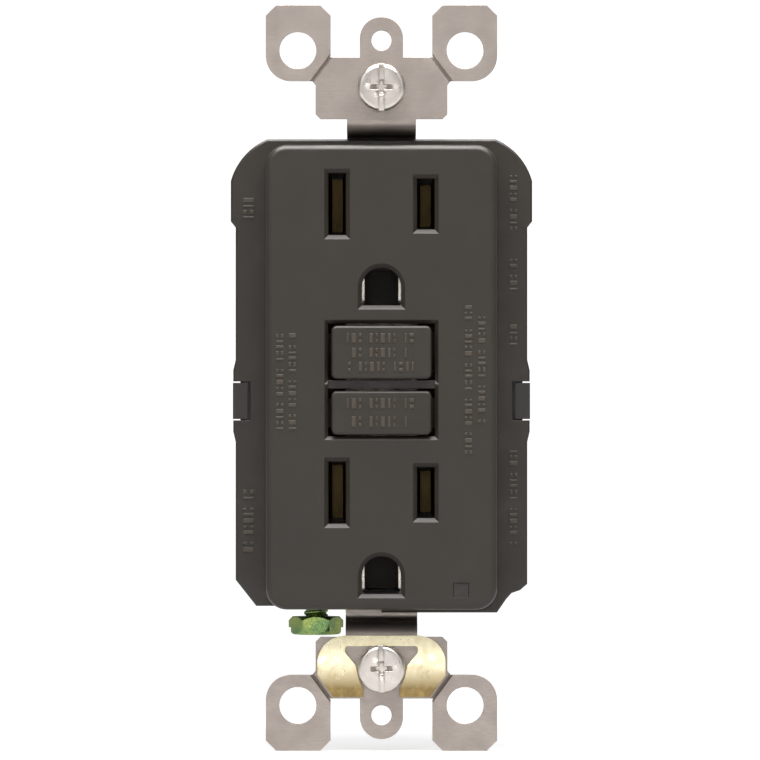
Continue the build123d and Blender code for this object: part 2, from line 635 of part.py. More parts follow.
# ---------------------------------------------------------------- ground contacts
def ground_contact(z):
    """Two spring fingers either side of the ground pin, on an arch riveted behind the strap."""
    pin_z = z - GROUND_DROP
    y0, y1 = STRAP_OFFSET, STRAP_OFFSET + 0.6
    contact = block(-4.0, 4.0, y0, y1, pin_z - 2.2, pin_z + 3.7) - rod("y", 3.3, y0 - 1, y1 + 1, 0, pin_z)
    for sx in (-1, 1):
        inner = GROUND_PIN_R + 0.05
        contact += block(sx * inner, sx * (inner + 0.55), -2.2, 12.4, pin_z - 1.9, pin_z + 1.3)
        contact += block(sx * inner, sx * 3.9, y0, y1, pin_z - 1.9, pin_z + 1.3)
    for x, rivet_z in rivet_spots():
        contact -= rod("y", RIVET_R, y0 - 1, y1 + 1, x, rivet_z)
    return contact


def rivet_spots():
    """Where the rivets go through the strap: two over each ground contact."""
    return [(sx * 3.2, z - GROUND_DROP + 2.9) for z in outlets() for sx in (-1, 1)]


def ground_rivets():
    """Rivets through the strap into each ground contact's arch."""
    rivets = []
    for x, z in rivet_spots():
        end = STRAP_OFFSET + 0.6
        rivet = rod("y", RIVET_R - 0.02, STRAP_OFFSET - STRAP_THICK, end, x, z) + rod("y", 0.7, end, end + 0.5, x, z)
        rivets += rivet.solids()
    return Compound(children=rivets)


# ---------------------------------------------------------------- receptacle contacts
def blade_reach():
    """How far a grip's flared mouth reaches from the middle of its blade towards the other blade."""
    return BLADE_THICK / 2 + 0.04 + 0.6 + CONTACT_THICK


def blade_grip(tall):
    """A tuning-fork grip on the hot side, about a blade at height 0: two leaves that meet behind the blade."""
    mid = BLADE_SPACING / 2
    gap = BLADE_THICK / 2 + 0.04
    t = CONTACT_THICK
    low, back = 5.6, 12.3
    outer = loop(
        (mid + gap + 0.9, low), (mid + gap, low + 1.6), (mid + gap, back), (mid - gap, back), (mid - gap, low + 1.6),
        (mid - gap - 0.6, low), (mid - gap - 0.6 - t, low + 0.1), (mid - gap - t, low + 1.8), (mid - gap - t, back + 0.6),
        (mid + gap + t, back + 0.6), (mid + gap + t, low + 1.8), (mid + gap + 0.9 + t, low + 0.1),
    )
    return extrude(outer, amount=tall / 2, both=True)


def receptacle_bus(tall):
    """The hot-side bus: a strip with a grip for each outlet, a leg to the load terminal and a tongue to the fixed contact."""
    y0, y1 = BUS_Y
    x1 = BUS_FACE_X
    x0 = x1 - BUS_THICK
    bus = block(x0, x1, y0, y1, OUTLET_LOWER_Z - 3.0, OUTLET_UPPER_Z + 3.0)
    for z in outlets():
        bus += Pos(0, 0, z) * blade_grip(tall - 1.2)
        bus += block(BLADE_SPACING / 2 + 1.0, x0 + 0.1, 8.4, 9.4, z - 2.4, z + 2.4)
    end = ARM_Y - CONTACT_HEIGHT - CONTACT_HEIGHT
    bus += block(x0, x1, y1 - 0.5, end, CONTACT_Z - 1.6, CONTACT_Z + 1.6)
    bus += block(ARM_X[0], x1, end - BUS_THICK, end, CONTACT_Z - 1.6, CONTACT_Z + 1.6)
    return bus


def hot_bus():
    return receptacle_bus(HOT_SLOT_HEIGHT)


def neutral_bus():
    return left(receptacle_bus(NEUTRAL_SLOT_HEIGHT))


def fixed_contacts():
    """Silver buttons on the two bus tongues."""
    y = ARM_Y - 2 * CONTACT_HEIGHT
    x = (ARM_X[0] + BUS_FACE_X) / 2
    return both(rod("y", CONTACT_R - 0.15, y, y + CONTACT_HEIGHT, x, CONTACT_Z))


def moving_contacts():
    """Silver buttons on the two arms."""
    x = (ARM_X[0] + BUS_FACE_X) / 2
    return both(rod("y", CONTACT_R, ARM_Y - CONTACT_HEIGHT, ARM_Y, x, CONTACT_Z))


def contact_arm():
    """The hot-side contact arm: a flat spring from its root to the contact."""
    x0, x1 = ARM_X
    arm = block(x0, x1, ARM_Y, ARM_Y + ARM_THICK, ARM_ROOT_Z, ARM_TIP_Z)
    corners = arm.edges().filter_by(Axis.Y).group_by(Axis.Z)[-1]
    return fillet(corners, 1.2)


def terminal_leg_y():
    """Front and back of a load terminal's leg."""
    return 8.4, 8.4 + TERMINAL_THICK


def conductor_z():
    """Lower and upper edge of a line conductor's run in to the sensor."""
    return SENSOR_Z - 1.0, SENSOR_Z + 1.0


def terminal_plate(z):
    """The hot-side terminal plate with its tapped hole; the load one has a leg in to the bus."""
    x1 = TERMINAL_FACE_X
    x0 = x1 - TERMINAL_THICK
    y_end = TERMINAL_Y + 5.0
    leg_y0, leg_y1 = terminal_leg_y()
    if z > 0:
        plate = block(x0, x1, leg_y0, y_end, z - 4.6, z + 4.6)
        plate += block(BUS_FACE_X, x1, leg_y0, leg_y1, z - 1.5, z + 1.5)
    else:
        plate = block(x0, x1, leg_y0, y_end, z - 5.4, z + 4.6)
    return plate - rod("x", TERMINAL_SCREW_R + 0.05, x0 - 1, x1 + 1, TERMINAL_Y, z)


def terminal_screw(z):
    """The hot-side wire screw, backed out, with a slot and a cross recess."""
    inner = TERMINAL_FACE_X + WIRE_GAP + CLAMP_THICK
    outer = inner + TERMINAL_HEAD_THICK
    head = rod("x", TERMINAL_HEAD_R, inner, outer, TERMINAL_Y, z)
    head = fillet(head.edges().sort_by(Axis.X)[-1], 0.8)
    shank = rod("x", TERMINAL_SCREW_R, pocket_wall_x()[0] - 0.2, inner + 0.2, TERMINAL_Y, z)
    shank = chamfer(shank.edges().sort_by(Axis.X)[0], 0.5)
    screw = head + shank
    screw -= block(outer - 0.9, outer + 1, TERMINAL_Y - 6, TERMINAL_Y + 6, z - 0.55, z + 0.55)
    for turn in (0, 90):
        screw -= Pos(outer, TERMINAL_Y, z) * Rot(turn, 0, 0) * Box(2.8, 4.0, 0.9)
    return screw


def wire_clamp(z):
    """The hot-side pressure plate under a wire screw's head, with turned-in side lips."""
    inner = TERMINAL_FACE_X + WIRE_GAP
    outer = inner + CLAMP_THICK
    plate = block(inner, outer, TERMINAL_Y - 4.6, TERMINAL_Y + 4.6, z - 4.9, z + 4.9)
    plate = fillet(plate.edges().filter_by(Axis.X), 0.8)
    for y in (TERMINAL_Y - 2.9, TERMINAL_Y + 2.9):
        for dz in (-WIRE_HOLE_OFFSET, WIRE_HOLE_OFFSET):
            plate -= block(inner - 1, inner + 0.25, y - 0.35, y + 0.35, z + dz - 1.0, z + dz + 1.0)
    return plate - rod("x", TERMINAL_SCREW_R + RUN, inner - 1, outer + 1, TERMINAL_Y, z)


# ---------------------------------------------------------------- carrier
def contact_carrier():
    """The moulded divider that holds the contacts, with wells for the ground pins and posts for the latch block."""
    half, low = CARRIER_HALF, CARRIER_LOW
    well_in = BLADE_SPACING / 2 - blade_reach() - 0.35
    well_out = BUS_FACE_X + 0.6
    body = block(-half, half, CARRIER_FRONT, CARRIER_BACK, low, CARRIER_TOP)
    for z in outlets():
        well_low = max(z - GROUND_DROP - 3.6, low)
        body += block(-4.4, 4.4, CARRIER_BACK - 0.5, CARRIER_BACK + 1.6, well_low, z - GROUND_DROP + 3.6)
    for sx in (-1, 1):
        body += rod("y", GUIDE_R, CARRIER_BACK - 0.5, BOARD_FRONT - 0.3, sx * 5.0, RESET_Z)
    for z in outlets():
        pin_z = z - GROUND_DROP
        body -= block(-4.15, 4.15, CARRIER_FRONT - 1, 6.3, pin_z - 2.7, pin_z + 3.9)
        body -= block(-3.3, 3.3, CARRIER_FRONT, CARRIER_BACK + 1.0, pin_z - 2.7, pin_z + 2.6)
        for sx in (-1, 1):
            body -= block(sx * well_in, sx * well_out, CARRIER_FRONT - 1, CARRIER_FLOOR, z - 4.7, z + 4.7)
    for sx in (-1, 1):
        bus_out = BUS_FACE_X + 0.1
        body -= block(sx * (BUS_FACE_X - 1.1), sx * bus_out, CARRIER_FRONT - 1, BUS_Y[1] + 0.2, OUTLET_LOWER_Z - 3.2, OUTLET_UPPER_Z + 3.2)
        body -= block(sx * (ARM_X[0] - 0.1), sx * bus_out, CARRIER_FRONT - 1, CARRIER_BACK + 1, CONTACT_Z - 1.8, CONTACT_Z + 1.8)
        y1 = terminal_leg_y()[1] + 0.1
        body -= block(sx * (BUS_FACE_X - 0.5), sx * 12, CARRIER_FRONT - 1, y1, TERMINAL_Z - 1.65, TERMINAL_Z + 1.65)
    body -= rod("y", 2.6, CARRIER_FRONT - 1, CARRIER_BACK + 1, 0, RESET_Z)
    body -= block(TEST_ANCHOR_X, 6.4, CARRIER_FRONT - 1, TEST_FLOOR, TEST_Z - 3.4, TEST_Z + 2.4)
    body -= block(-half - 1, -4.6, 0, 20, low - 1, ground_pocket()[2] + 1.4)
    body -= block(half - 0.8, half + 1, 0, 20, low - 1, -28.5)
    return body


# ---------------------------------------------------------------- buttons
def button_shell(z, height, proud, flange_y):
    """A hollow button: crowned front, open back and a stop flange each side."""
    front = -FACE_PROUD - proud
    back = flange_y + 1.0
    outline = Pos(0, z) * RectangleRounded(BUTTON_WIDTH, height, 0.8)
    shell = prism(outline, front, back)
    shell = fillet(shell.faces().sort_by(Axis.Y)[0].edges(), 0.4)
    hollow = Pos(0, z) * Rectangle(BUTTON_WIDTH - 2 * BUTTON_WALL, height - 2 * BUTTON_WALL)
    shell -= prism(hollow, front + 1.5, back + 1)
    for sx in (-1, 1):
        shell += block(sx * (BUTTON_WIDTH / 2 - 0.2), sx * (BUTTON_WIDTH / 2 + 1.1), flange_y, back, z - height / 2 + 1.0, z + height / 2 - 1.0)
    return shell


def reset_flange_y():
    """The reset button's stop flange, which meets the guide when the button is fully out."""
    return GUIDE_END_Y + RESET_TRAVEL + 0.1


def reset_button():
    """The reset button, with a socket for its pin."""
    shell = button_shell(RESET_Z, RESET_HEIGHT, RESET_PROUD, reset_flange_y())
    front = -FACE_PROUD - RESET_PROUD
    socket = rod("y", 2.0, front + 1.4, -2.6, 0, RESET_Z)
    return shell + socket - rod("y", PIN_R, front + 1.6, -2, 0, RESET_Z)


def reset_pin():
    """The pin from the reset button back to the latch, with a tapered head that the slider hooks."""
    hook_y = SLIDER_Y + SLIDER_THICK
    front = -FACE_PROUD - RESET_PROUD + 1.6
    taper_end = hook_y + PIN_TAPER
    profile = [
        (0, front), (PIN_R, front), (PIN_R, hook_y), (PIN_HEAD_R, taper_end), (PIN_HEAD_R, taper_end + 0.6),
        (0.9, taper_end + 1.6), (0, taper_end + 1.6),
    ]
    return spin(profile, 0, RESET_Z)


def along_y(shape, x, y, z):
    """Turns a piece made along Z to lie along +Y, from y."""
    return Pos(x, y, z) * Rot(-90, 0, 0) * shape


def reset_spring():
    """The spring that throws the reset button out when the latch lets go."""
    start = -2.5
    end = STRAP_OFFSET - STRAP_THICK
    return along_y(spring(0.45, 2.3, end - start, 4), 0, start, RESET_Z)


def test_flange_y():
    return GUIDE_END_Y + 0.1


def test_button():
    """The test button, with a stem down to its blade."""
    shell = button_shell(TEST_Z, TEST_HEIGHT, TEST_PROUD, test_flange_y())
    front = -FACE_PROUD - TEST_PROUD
    tip = TEST_BLADE_Y - 0.1
    half = TEST_STEM / 2
    stem = block(-half, half, front + 1.4, tip - 0.8, TEST_Z - half, TEST_Z + half)
    nose = rod("z", 0.8, TEST_Z - half, TEST_Z + half, 0, tip - 0.8)
    return shell + stem + nose


def test_spring():
    """The spring round the test button's stem."""
    start = -FACE_PROUD - TEST_PROUD + 1.5
    end = STRAP_OFFSET - STRAP_THICK
    return along_y(spring(0.35, 1.8, end - start, 6), 0, start, TEST_Z)


def test_blade():
    """A leaf that the test button bends back until it meets the test contact."""
    return block(TEST_ANCHOR_X + 0.75, 5.2, TEST_BLADE_Y, TEST_BLADE_Y + 0.35, TEST_Z - 1.6, TEST_Z + 1.6)


def test_anchor():
    """The fixed root of the test blade, seated in the carrier."""
    return block(TEST_ANCHOR_X, TEST_ANCHOR_X + 0.65, CARRIER_FRONT + 0.2, TEST_FLOOR, TEST_Z - 1.6, TEST_Z + 1.6)


def test_contact():
    """The post that the bent test blade meets."""
    foot = block(3.0, 6.3, TEST_FLOOR - 0.6, TEST_FLOOR, TEST_Z - 1.4, TEST_Z + 1.4)
    return foot + rod("y", 0.8, TEST_BLADE_Y + 3.05, TEST_FLOOR - 0.5, 4.4, TEST_Z)


# ---------------------------------------------------------------- trip mechanism
def latch_block():
    """The block that lifts both contact arms, with a through slot for the slider and a bore for the pin head."""
    low, high = RESET_Z - 6.6, RESET_Z + 2.4
    y0, y1 = 16.6, 21.9
    body = block(-6.2, 6.2, y0, y1, low, high)
    body += block(-ARM_X[1], ARM_X[1], ARM_Y + ARM_THICK + 0.1, ARM_Y + ARM_THICK + 1.7, RESET_Z - 2.0, RESET_Z + 2.0)
    slot_y0, slot_y1 = SLIDER_Y - 0.1, SLIDER_Y + SLIDER_THICK + 0.1
    body -= block(-SLIDER_HALF - 0.1, SLIDER_HALF + 0.1, slot_y0, slot_y1, low + 1.6, high + 1)
    body -= rod("z", 1.25, low + 0.8, low + 4.2, 0, SLIDER_Y + SLIDER_THICK / 2)
    body -= rod("y", 2.3, y0 - 1, y1 + 1, 0, RESET_Z)
    for sx in (-1, 1):
        body -= rod("y", GUIDE_R + RUN, y0 - 1, y1 + 1, sx * 5.0, RESET_Z)
    return body


def latch_slider():
    """The steel slide that hooks the pin's head, with an upturned end for the plunger to push."""
    y0, y1 = SLIDER_Y, SLIDER_Y + SLIDER_THICK
    low = RESET_Z - 2.6
    plate = block(-SLIDER_HALF, SLIDER_HALF, y0, y1, low, SLIDER_END_Z)
    plate += block(-2.2, 2.2, y0 - 0.6, y1 + 2.9, SLIDER_END_Z - 0.8, SLIDER_END_Z)
    hook, far = RESET_Z - SLIDER_HOOK_DROP, RESET_Z + SLIDER_TRAVEL + 2.1
    return plate - block(-2.25, 2.25, y0 - 1, y1 + 1, hook, far)


def latch_spring():
    """The spring that returns the slider."""
    low = RESET_Z - 6.6 + 0.8
    return Pos(0, SLIDER_Y + SLIDER_THICK / 2, low) * spring(0.3, 0.9, RESET_Z - 2.6 - low, 4)


def plunger():
    """The solenoid's moving core, with a push rod below and a cap above."""
    rod_tip = SLIDER_END_Z + PLUNGER_FREE
    core = rod("z", PLUNGER_R, 17.5, PLUNGER_TOP, 0, COIL_Y)
    pusher = rod("z", PLUNGER_ROD_R, rod_tip, 17.6, 0, COIL_Y)
    cap = rod("z", 2.9, PLUNGER_TOP, PLUNGER_TOP + PLUNGER_CAP, 0, COIL_Y)
    return core + pusher + cap


def frame_z():
    """Lower and upper outside faces of the solenoid frame."""
    gap = FLANGE_THICK + FRAME_THICK
    return COIL_Z[0] - gap, COIL_Z[1] + gap


def plunger_spring():
    """The spring that lifts the plunger back out."""
    top = frame_z()[1]
    return Pos(0, COIL_Y, top) * spring(0.3, 2.45, PLUNGER_TOP - top, 2)


def coil_bobbin():
    """The bobbin: a bored tube and two square flanges."""
    z0, z1 = COIL_Z
    half = COIL_R + 0.1
    spool = rod("z", COIL_TUBE_R, z0 - 0.1, z1 + 0.1, 0, COIL_Y)
    for low in (z0 - FLANGE_THICK, z1):
        spool += block(-half, half, COIL_Y - half, COIL_Y + half, low, low + FLANGE_THICK)
    return spool - rod("z", PLUNGER_R + RUN, z0 - 5, z1 + 5, 0, COIL_Y)


def coil_winding():
    """The copper winding, as one sleeve."""
    z0, z1 = COIL_Z
    return rod("z", COIL_R, z0, z1, 0, COIL_Y) - rod("z", COIL_TUBE_R, z0 - 1, z1 + 1, 0, COIL_Y)


def coil_frame():
    """The solenoid's steel frame, a U round the bobbin."""
    low, high = frame_z()
    half = COIL_R
    x1 = COIL_R + 0.2 + FRAME_THICK
    frame = block(-half, x1, COIL_Y - half + 0.5, COIL_Y + half, low, high)
    frame -= block(-half - 1, COIL_R + 0.2, 0, 40, low + FRAME_THICK, high - FRAME_THICK)
    frame -= rod("z", PLUNGER_ROD_R + 0.3, low - 1, low + 1, 0, COIL_Y)
    return frame - rod("z", PLUNGER_R + RUN, high - 1, high + 1, 0, COIL_Y)


# ---------------------------------------------------------------- sensor and conductors
def sensor_core(y):
    """One wound toroid of the current sensor, as a rounded ring, from y back."""
    ring = rod("y", SENSOR_R, y, y + CORE_HEIGHT, 0, SENSOR_Z) - rod("y", SENSOR_BORE_R, y - 1, y + 5, 0, SENSOR_Z)
    return fillet(ring.edges(), 0.8)


def line_conductor():
    """The hot-side conductor from the line terminal through the sensor's bore and out to the contact arm."""
    t = CONDUCTOR_THICK
    z0, z1 = conductor_z()
    y_in = SENSOR_Y - 0.4 - t
    y_out = SENSOR_Y + 2 * CORE_HEIGHT + CORE_GAP + 0.2
    x_in, x_out = 1.2, ARM_X[1]
    run = block(x_in, TERMINAL_FACE_X - TERMINAL_THICK, y_in, y_in + t, z0, z1)
    run += block(x_in, x_in + t, y_in, y_out + t, z0, z1)
    run += block(x_in, x_out, y_out, y_out + t, z0, z1)
    post_z = ARM_ROOT_Z - 2.6
    run += block(x_out - 2.0, x_out, y_out, y_out + t, z0, post_z)
    run += block(x_out - 2.0, x_out, ARM_Y, y_out + t, post_z - t, post_z)
    return run + block(x_out - 2.0, x_out, ARM_Y, ARM_Y + t, post_z - t, ARM_ROOT_Z - 0.15)


# ---------------------------------------------------------------- electronics
def circuit_board():
    """The board: a centre strip with wings at the middle and the foot."""
    y0, y1 = BOARD_FRONT, BOARD_FRONT + BOARD_THICK
    board = block(-10.6, 10.6, y0, y1, BOARD_LOW, 27.5)
    board += block(-17.8, 17.8, y0, y1, -9.0, 9.0)
    board += block(-13.8, 13.8, y0, y1, BOARD_LOW, -24.2)
    for sx in (-1, 1):
        board -= rod("y", 1.45, y0 - 1, y1 + 1, sx * 9.0, -24.3)
    return board


def surge_varistor():
    """A disc on edge, with two leads."""
    disc = rod("z", 3.3, -3.7, -0.3, 14.5, BOARD_FRONT - 3.5)
    disc = fillet(disc.edges(), 0.8)
    for x in (13.0, 16.0):
        disc += rod("y", 0.3, BOARD_FRONT - 1.5, BOARD_FRONT, x, -2.0)
    return disc


def film_capacitor():
    """A boxed capacitor."""
    can = block(-17.2, -12.0, BOARD_FRONT - 5.2, BOARD_FRONT, -5.0, -1.6)
    return fillet(can.edges().filter_by(Axis.Y), 0.4)


def electrolytic_capacitor():
    """A can capacitor standing on the board."""
    can = rod("y", 2.2, BOARD_FRONT - 5.8, BOARD_FRONT, -14.6, 4.4)
    return fillet(can.edges().sort_by(Axis.Y)[0], 0.5)


def thyristor():
    """The small switching device that fires the solenoid: a flat-sided round package."""
    body = rod("y", 2.3, BOARD_FRONT - 6.0, BOARD_FRONT - 1.4, 14.6, 4.6) - block(10, 20, 0, 40, 5.9, 8)
    for x in (13.4, 14.6, 15.8):
        body += rod("y", 0.25, BOARD_FRONT - 2.0, BOARD_FRONT, x, 4.4)
    return body


def control_chip():
    """The detector chip: a flat package with eight gull-wing legs."""
    top, foot = BOARD_FRONT - 1.6, BOARD_FRONT
    chip = block(-3.0, 3.0, top, foot - 0.2, -11.2, -7.4)
    for n in range(4):
        x = -2.25 + 1.5 * n
        chip += block(x - 0.25, x + 0.25, foot - 0.9, foot, -12.0, -6.6)
    return chip


def rectifier_diodes():
    """Four surface-mount diodes beside the solenoid."""
    parts = []
    for x in (-7.6, 7.8):
        for z in (14.0, 20.5):
            parts += block(x - 1.3, x + 1.3, BOARD_FRONT - 2.1, BOARD_FRONT, z - 2.1, z + 2.1).solids()
    return Compound(children=parts)


def chip_resistors():
    """Small surface-mount resistors."""
    spots = [(-7.0, -10.0), (7.0, -10.0), (-12.6, -7.4), (12.6, -7.4), (12.0, 0.9), (-16.0, 0.6)]
    parts = []
    for x, z in spots:
        parts += block(x - 1.0, x + 1.0, BOARD_FRONT - 0.6, BOARD_FRONT, z - 0.6, z + 0.6).solids()
    return Compound(children=parts)


def light_pipe():
    """The clear window and rod that carries the indicator's light to the face."""
    x, z = INDICATOR_X, INDICATOR_Z
    wide, high = INDICATOR_SIZE[0] / 2 - 0.05, INDICATOR_SIZE[1] / 2 - 0.05
    pipe = block(x - wide, x + wide, -FACE_PROUD + 0.15, PARTING_Y - 0.2, z - high, z + high)
    return pipe + block(x - wide, x + wide, PARTING_Y - 3, LAMP_Y - 0.4, LAMP_Z - 1.3, LAMP_Z + 0.4)


def indicator_lamp():
    """The lamp on the board behind the light pipe, with a rounded nose."""
    x, z = INDICATOR_X, LAMP_Z
    lamp = rod("y", 1.0, LAMP_Y, BOARD_FRONT, x, z)
    lamp = fillet(lamp.edges().sort_by(Axis.Y)[0], 0.6)
    return lamp + rod("y", 1.25, BOARD_FRONT - 0.7, BOARD_FRONT, x, z)


def board_parts():
    """The small devices soldered to the board, as separate solids."""
    makers = (surge_varistor, film_capacitor, electrolytic_capacitor, thyristor, rectifier_diodes, chip_resistors)
    return Compound(children=[solid for make in makers for solid in make().solids()])


# ---------------------------------------------------------------- write every piece
UP, DOWN = TERMINAL_Z, -TERMINAL_Z
SCREW_Z = BOX_SCREW_SPACING / 2
PIECES = {
    "front_cover": front_cover,
    "rear_housing": rear_housing,
    "contact_carrier": contact_carrier,
    "mounting_strap": mounting_strap,
    "grounding_clip": grounding_clip,
    "clip_rivets": clip_rivets,
    "assembly_screws": assembly_screws,
    "mounting_screw_top": lambda: mounting_screw(SCREW_Z),
    "mounting_screw_bottom": lambda: mounting_screw(-SCREW_Z),
    "screw_retainer_top": lambda: screw_retainer(SCREW_Z),
    "screw_retainer_bottom": lambda: screw_retainer(-SCREW_Z),
    "ground_screw": ground_screw,
    "ground_contact_upper": lambda: ground_contact(OUTLET_UPPER_Z),
    "ground_contact_lower": lambda: ground_contact(OUTLET_LOWER_Z),
    "ground_rivets": ground_rivets,
    "hot_bus": hot_bus,
    "neutral_bus": neutral_bus,
    "load_hot_terminal": lambda: terminal_plate(UP),
    "load_neutral_terminal": lambda: left(terminal_plate(UP)),
    "line_hot_terminal": lambda: terminal_plate(DOWN),
    "line_neutral_terminal": lambda: left(terminal_plate(DOWN)),
    "load_hot_screw": lambda: terminal_screw(UP),
    "load_neutral_screw": lambda: left(terminal_screw(UP)),
    "line_hot_screw": lambda: terminal_screw(DOWN),
    "line_neutral_screw": lambda: left(terminal_screw(DOWN)),
    "load_hot_clamp": lambda: wire_clamp(UP),
    "load_neutral_clamp": lambda: left(wire_clamp(UP)),
    "line_hot_clamp": lambda: wire_clamp(DOWN),
    "line_neutral_clamp": lambda: left(wire_clamp(DOWN)),
    "hot_contact_arm": contact_arm,
    "neutral_contact_arm": lambda: left(contact_arm()),
    "moving_contacts": moving_contacts,
    "fixed_contacts": fixed_contacts,
    "hot_line_conductor": line_conductor,
    "neutral_line_conductor": lambda: left(line_conductor()),
    "sensor_front_core": lambda: sensor_core(SENSOR_Y),
    "sensor_rear_core": lambda: sensor_core(SENSOR_Y + CORE_HEIGHT + CORE_GAP),
    "reset_button": reset_button,
    "reset_pin": reset_pin,
    "reset_spring": reset_spring,
    "test_button": test_button,
    "test_spring": test_spring,
    "test_blade": test_blade,
    "test_anchor": test_anchor,
    "test_contact": test_contact,
    "latch_block": latch_block,
    "latch_slider": latch_slider,
    "latch_spring": latch_spring,
    "plunger": plunger,
    "plunger_spring": plunger_spring,
    "coil_bobbin": coil_bobbin,
    "coil_winding": coil_winding,
    "coil_frame": coil_frame,
    "circuit_board": circuit_board,
    "board_parts": board_parts,
    "control_chip": control_chip,
    "light_pipe": light_pipe,
    "indicator_lamp": indicator_lamp,
}


os.makedirs("parts", exist_ok=True)
for name, make in PIECES.items():
    export_step(make(), f"parts/{name}.step")
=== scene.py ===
"""Looks for a duplex receptacle with a ground-fault interrupter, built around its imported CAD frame."""

import math

import bmesh
import bpy
from bpy.props import FloatProperty, FloatVectorProperty, IntProperty, PointerProperty
from mathutils import Matrix, Vector


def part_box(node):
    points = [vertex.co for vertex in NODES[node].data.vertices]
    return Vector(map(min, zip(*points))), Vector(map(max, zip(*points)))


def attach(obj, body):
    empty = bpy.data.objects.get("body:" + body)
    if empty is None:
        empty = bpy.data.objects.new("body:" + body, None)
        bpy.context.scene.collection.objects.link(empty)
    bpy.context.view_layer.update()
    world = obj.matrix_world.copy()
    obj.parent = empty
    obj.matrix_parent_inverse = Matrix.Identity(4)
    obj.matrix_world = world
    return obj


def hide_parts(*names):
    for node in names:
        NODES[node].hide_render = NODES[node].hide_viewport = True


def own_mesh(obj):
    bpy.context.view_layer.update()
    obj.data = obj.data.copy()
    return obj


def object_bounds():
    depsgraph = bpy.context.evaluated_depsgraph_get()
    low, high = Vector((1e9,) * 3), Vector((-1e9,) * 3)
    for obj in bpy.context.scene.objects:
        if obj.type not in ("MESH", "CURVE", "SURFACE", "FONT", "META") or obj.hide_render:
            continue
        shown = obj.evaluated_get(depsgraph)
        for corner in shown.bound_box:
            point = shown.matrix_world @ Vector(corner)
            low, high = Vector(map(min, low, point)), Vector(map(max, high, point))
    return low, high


bl_info = {
    "name": "Duplex Receptacle",
    "version": (1, 0, 0),
    "blender": (4, 5, 0),
    "location": "View3D > Sidebar > Receptacle",
    "description": "Finishes and small pieces for a decorator-style duplex receptacle",
    "category": "Object",
}

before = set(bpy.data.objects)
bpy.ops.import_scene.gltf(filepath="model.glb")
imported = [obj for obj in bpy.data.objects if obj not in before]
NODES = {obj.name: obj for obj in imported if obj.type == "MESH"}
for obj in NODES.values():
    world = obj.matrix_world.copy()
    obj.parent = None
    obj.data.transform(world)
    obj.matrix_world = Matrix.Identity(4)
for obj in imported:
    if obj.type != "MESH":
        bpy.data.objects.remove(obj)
CAD_BOX = [list(corner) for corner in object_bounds()]
MM = 0.001
SIDES = ("load_hot", "load_neutral", "line_hot", "line_neutral")


# ---------------------------------------------------------------- sizes and colours
def length(name, text, mm):
    """A length property with its default in millimetres."""
    return FloatProperty(name=name, description=text, default=mm * MM, min=0.0, precision=5, unit="LENGTH")


def colour(name, text, rgb):
    """A colour property with its default in 0 to 255 display values."""
    linear = [((v / 255 + 0.055) / 1.055) ** 2.4 if v > 10 else v / 255 / 12.92 for v in rgb]
    return FloatVectorProperty(
        name=name, description=text, default=linear, size=3, min=0, max=1, subtype="COLOR"
    )


class ReceptacleScrewSizes(bpy.types.PropertyGroup):
    """Sizes of the screws' recesses and threads."""

    slot: length("Slot width", "Width of the straight slot in each screw head", 0.8)
    slot_depth: length("Slot depth", "Depth of the straight slot", 0.75)
    cross: length("Cross reach", "How far the cross recess reaches from the screw's axis", 1.75)
    cross_width: length("Cross width", "Width of each wing of the cross recess", 0.8)
    cross_depth: length("Cross depth", "Depth of the cross recess", 1.5)
    pitch: length("Thread pitch", "Distance from one thread crest to the next", 0.794)
    depth: length("Thread depth", "Height of the thread from root to crest", 0.34)
    segments: IntProperty(
        name="Segments", description="Facets round each screw head", default=48, min=16, max=128
    )


class ReceptacleMarkSizes(bpy.types.PropertyGroup):
    """Sizes of the raised blank marks."""

    relief: length("Relief", "How far a mark stands off the plastic", 0.09)
    stroke: length("Stroke", "Width of one mark", 0.34)
    gap: length("Gap", "Space between neighbouring marks", 0.36)


class ReceptacleColours(bpy.types.PropertyGroup):
    """Colours of the plastics and metals."""

    cover: colour("Cover", "Moulded cover plastic", (32, 27, 21))
    button: colour("Button", "Moulded button plastic", (32, 27, 21))
    housing: colour("Housing", "Rear housing plastic", (34, 31, 29))
    carrier: colour("Carrier", "Glass-filled inner plastic", (96, 91, 84))
    steel: colour("Strap", "Zinc-plated steel strip", (166, 156, 149))
    screw: colour("Screws", "Bright zinc screw steel", (206, 199, 192))
    brass: colour("Brass", "Rolled brass", (222, 190, 128))
    # the clip's painted highlight colour, standing for the overhead light on its bent top
    brass_highlight_paint: colour("Pale brass", "Brass where it is thinnest and brightest", (250, 240, 205))
    green: colour("Ground screw", "Green plated ground screw", (118, 146, 92))
    copper: colour("Copper", "Enamelled copper wire", (190, 104, 56))


class ReceptacleStageSizes(bpy.types.PropertyGroup):
    """Camera and light of the stage."""

    distance: length("Camera distance", "From the wall plane to the camera", 1600)
    width: length("View width", "Width of the view at the strap", 109.04)
    shift_x: FloatProperty(
        name="Aim X", description="View centre to the right of the origin", default=-0.00021, unit="LENGTH"
    )
    shift_z: FloatProperty(
        name="Aim Z", description="View centre above the origin", default=-0.00029, unit="LENGTH"
    )
    top_power: FloatProperty(
        name="Overhead power", description="Power of the overhead light", default=7.5, min=0.0
    )
    front_power: FloatProperty(
        name="Front power", description="Power of the front lights", default=1.0, min=0.0
    )
    sky: FloatProperty(
        name="Ambient", description="Strength of the surrounding light", default=0.3, min=0.0
    )


class ReceptacleSettings(bpy.types.PropertyGroup):
    """Everything a user may change."""

    screws: PointerProperty(type=ReceptacleScrewSizes)
    marks: PointerProperty(type=ReceptacleMarkSizes)
    colours: PointerProperty(type=ReceptacleColours)
    stage: PointerProperty(type=ReceptacleStageSizes)


def settings():
    """The scene's receptacle settings."""
    return bpy.context.scene.receptacle


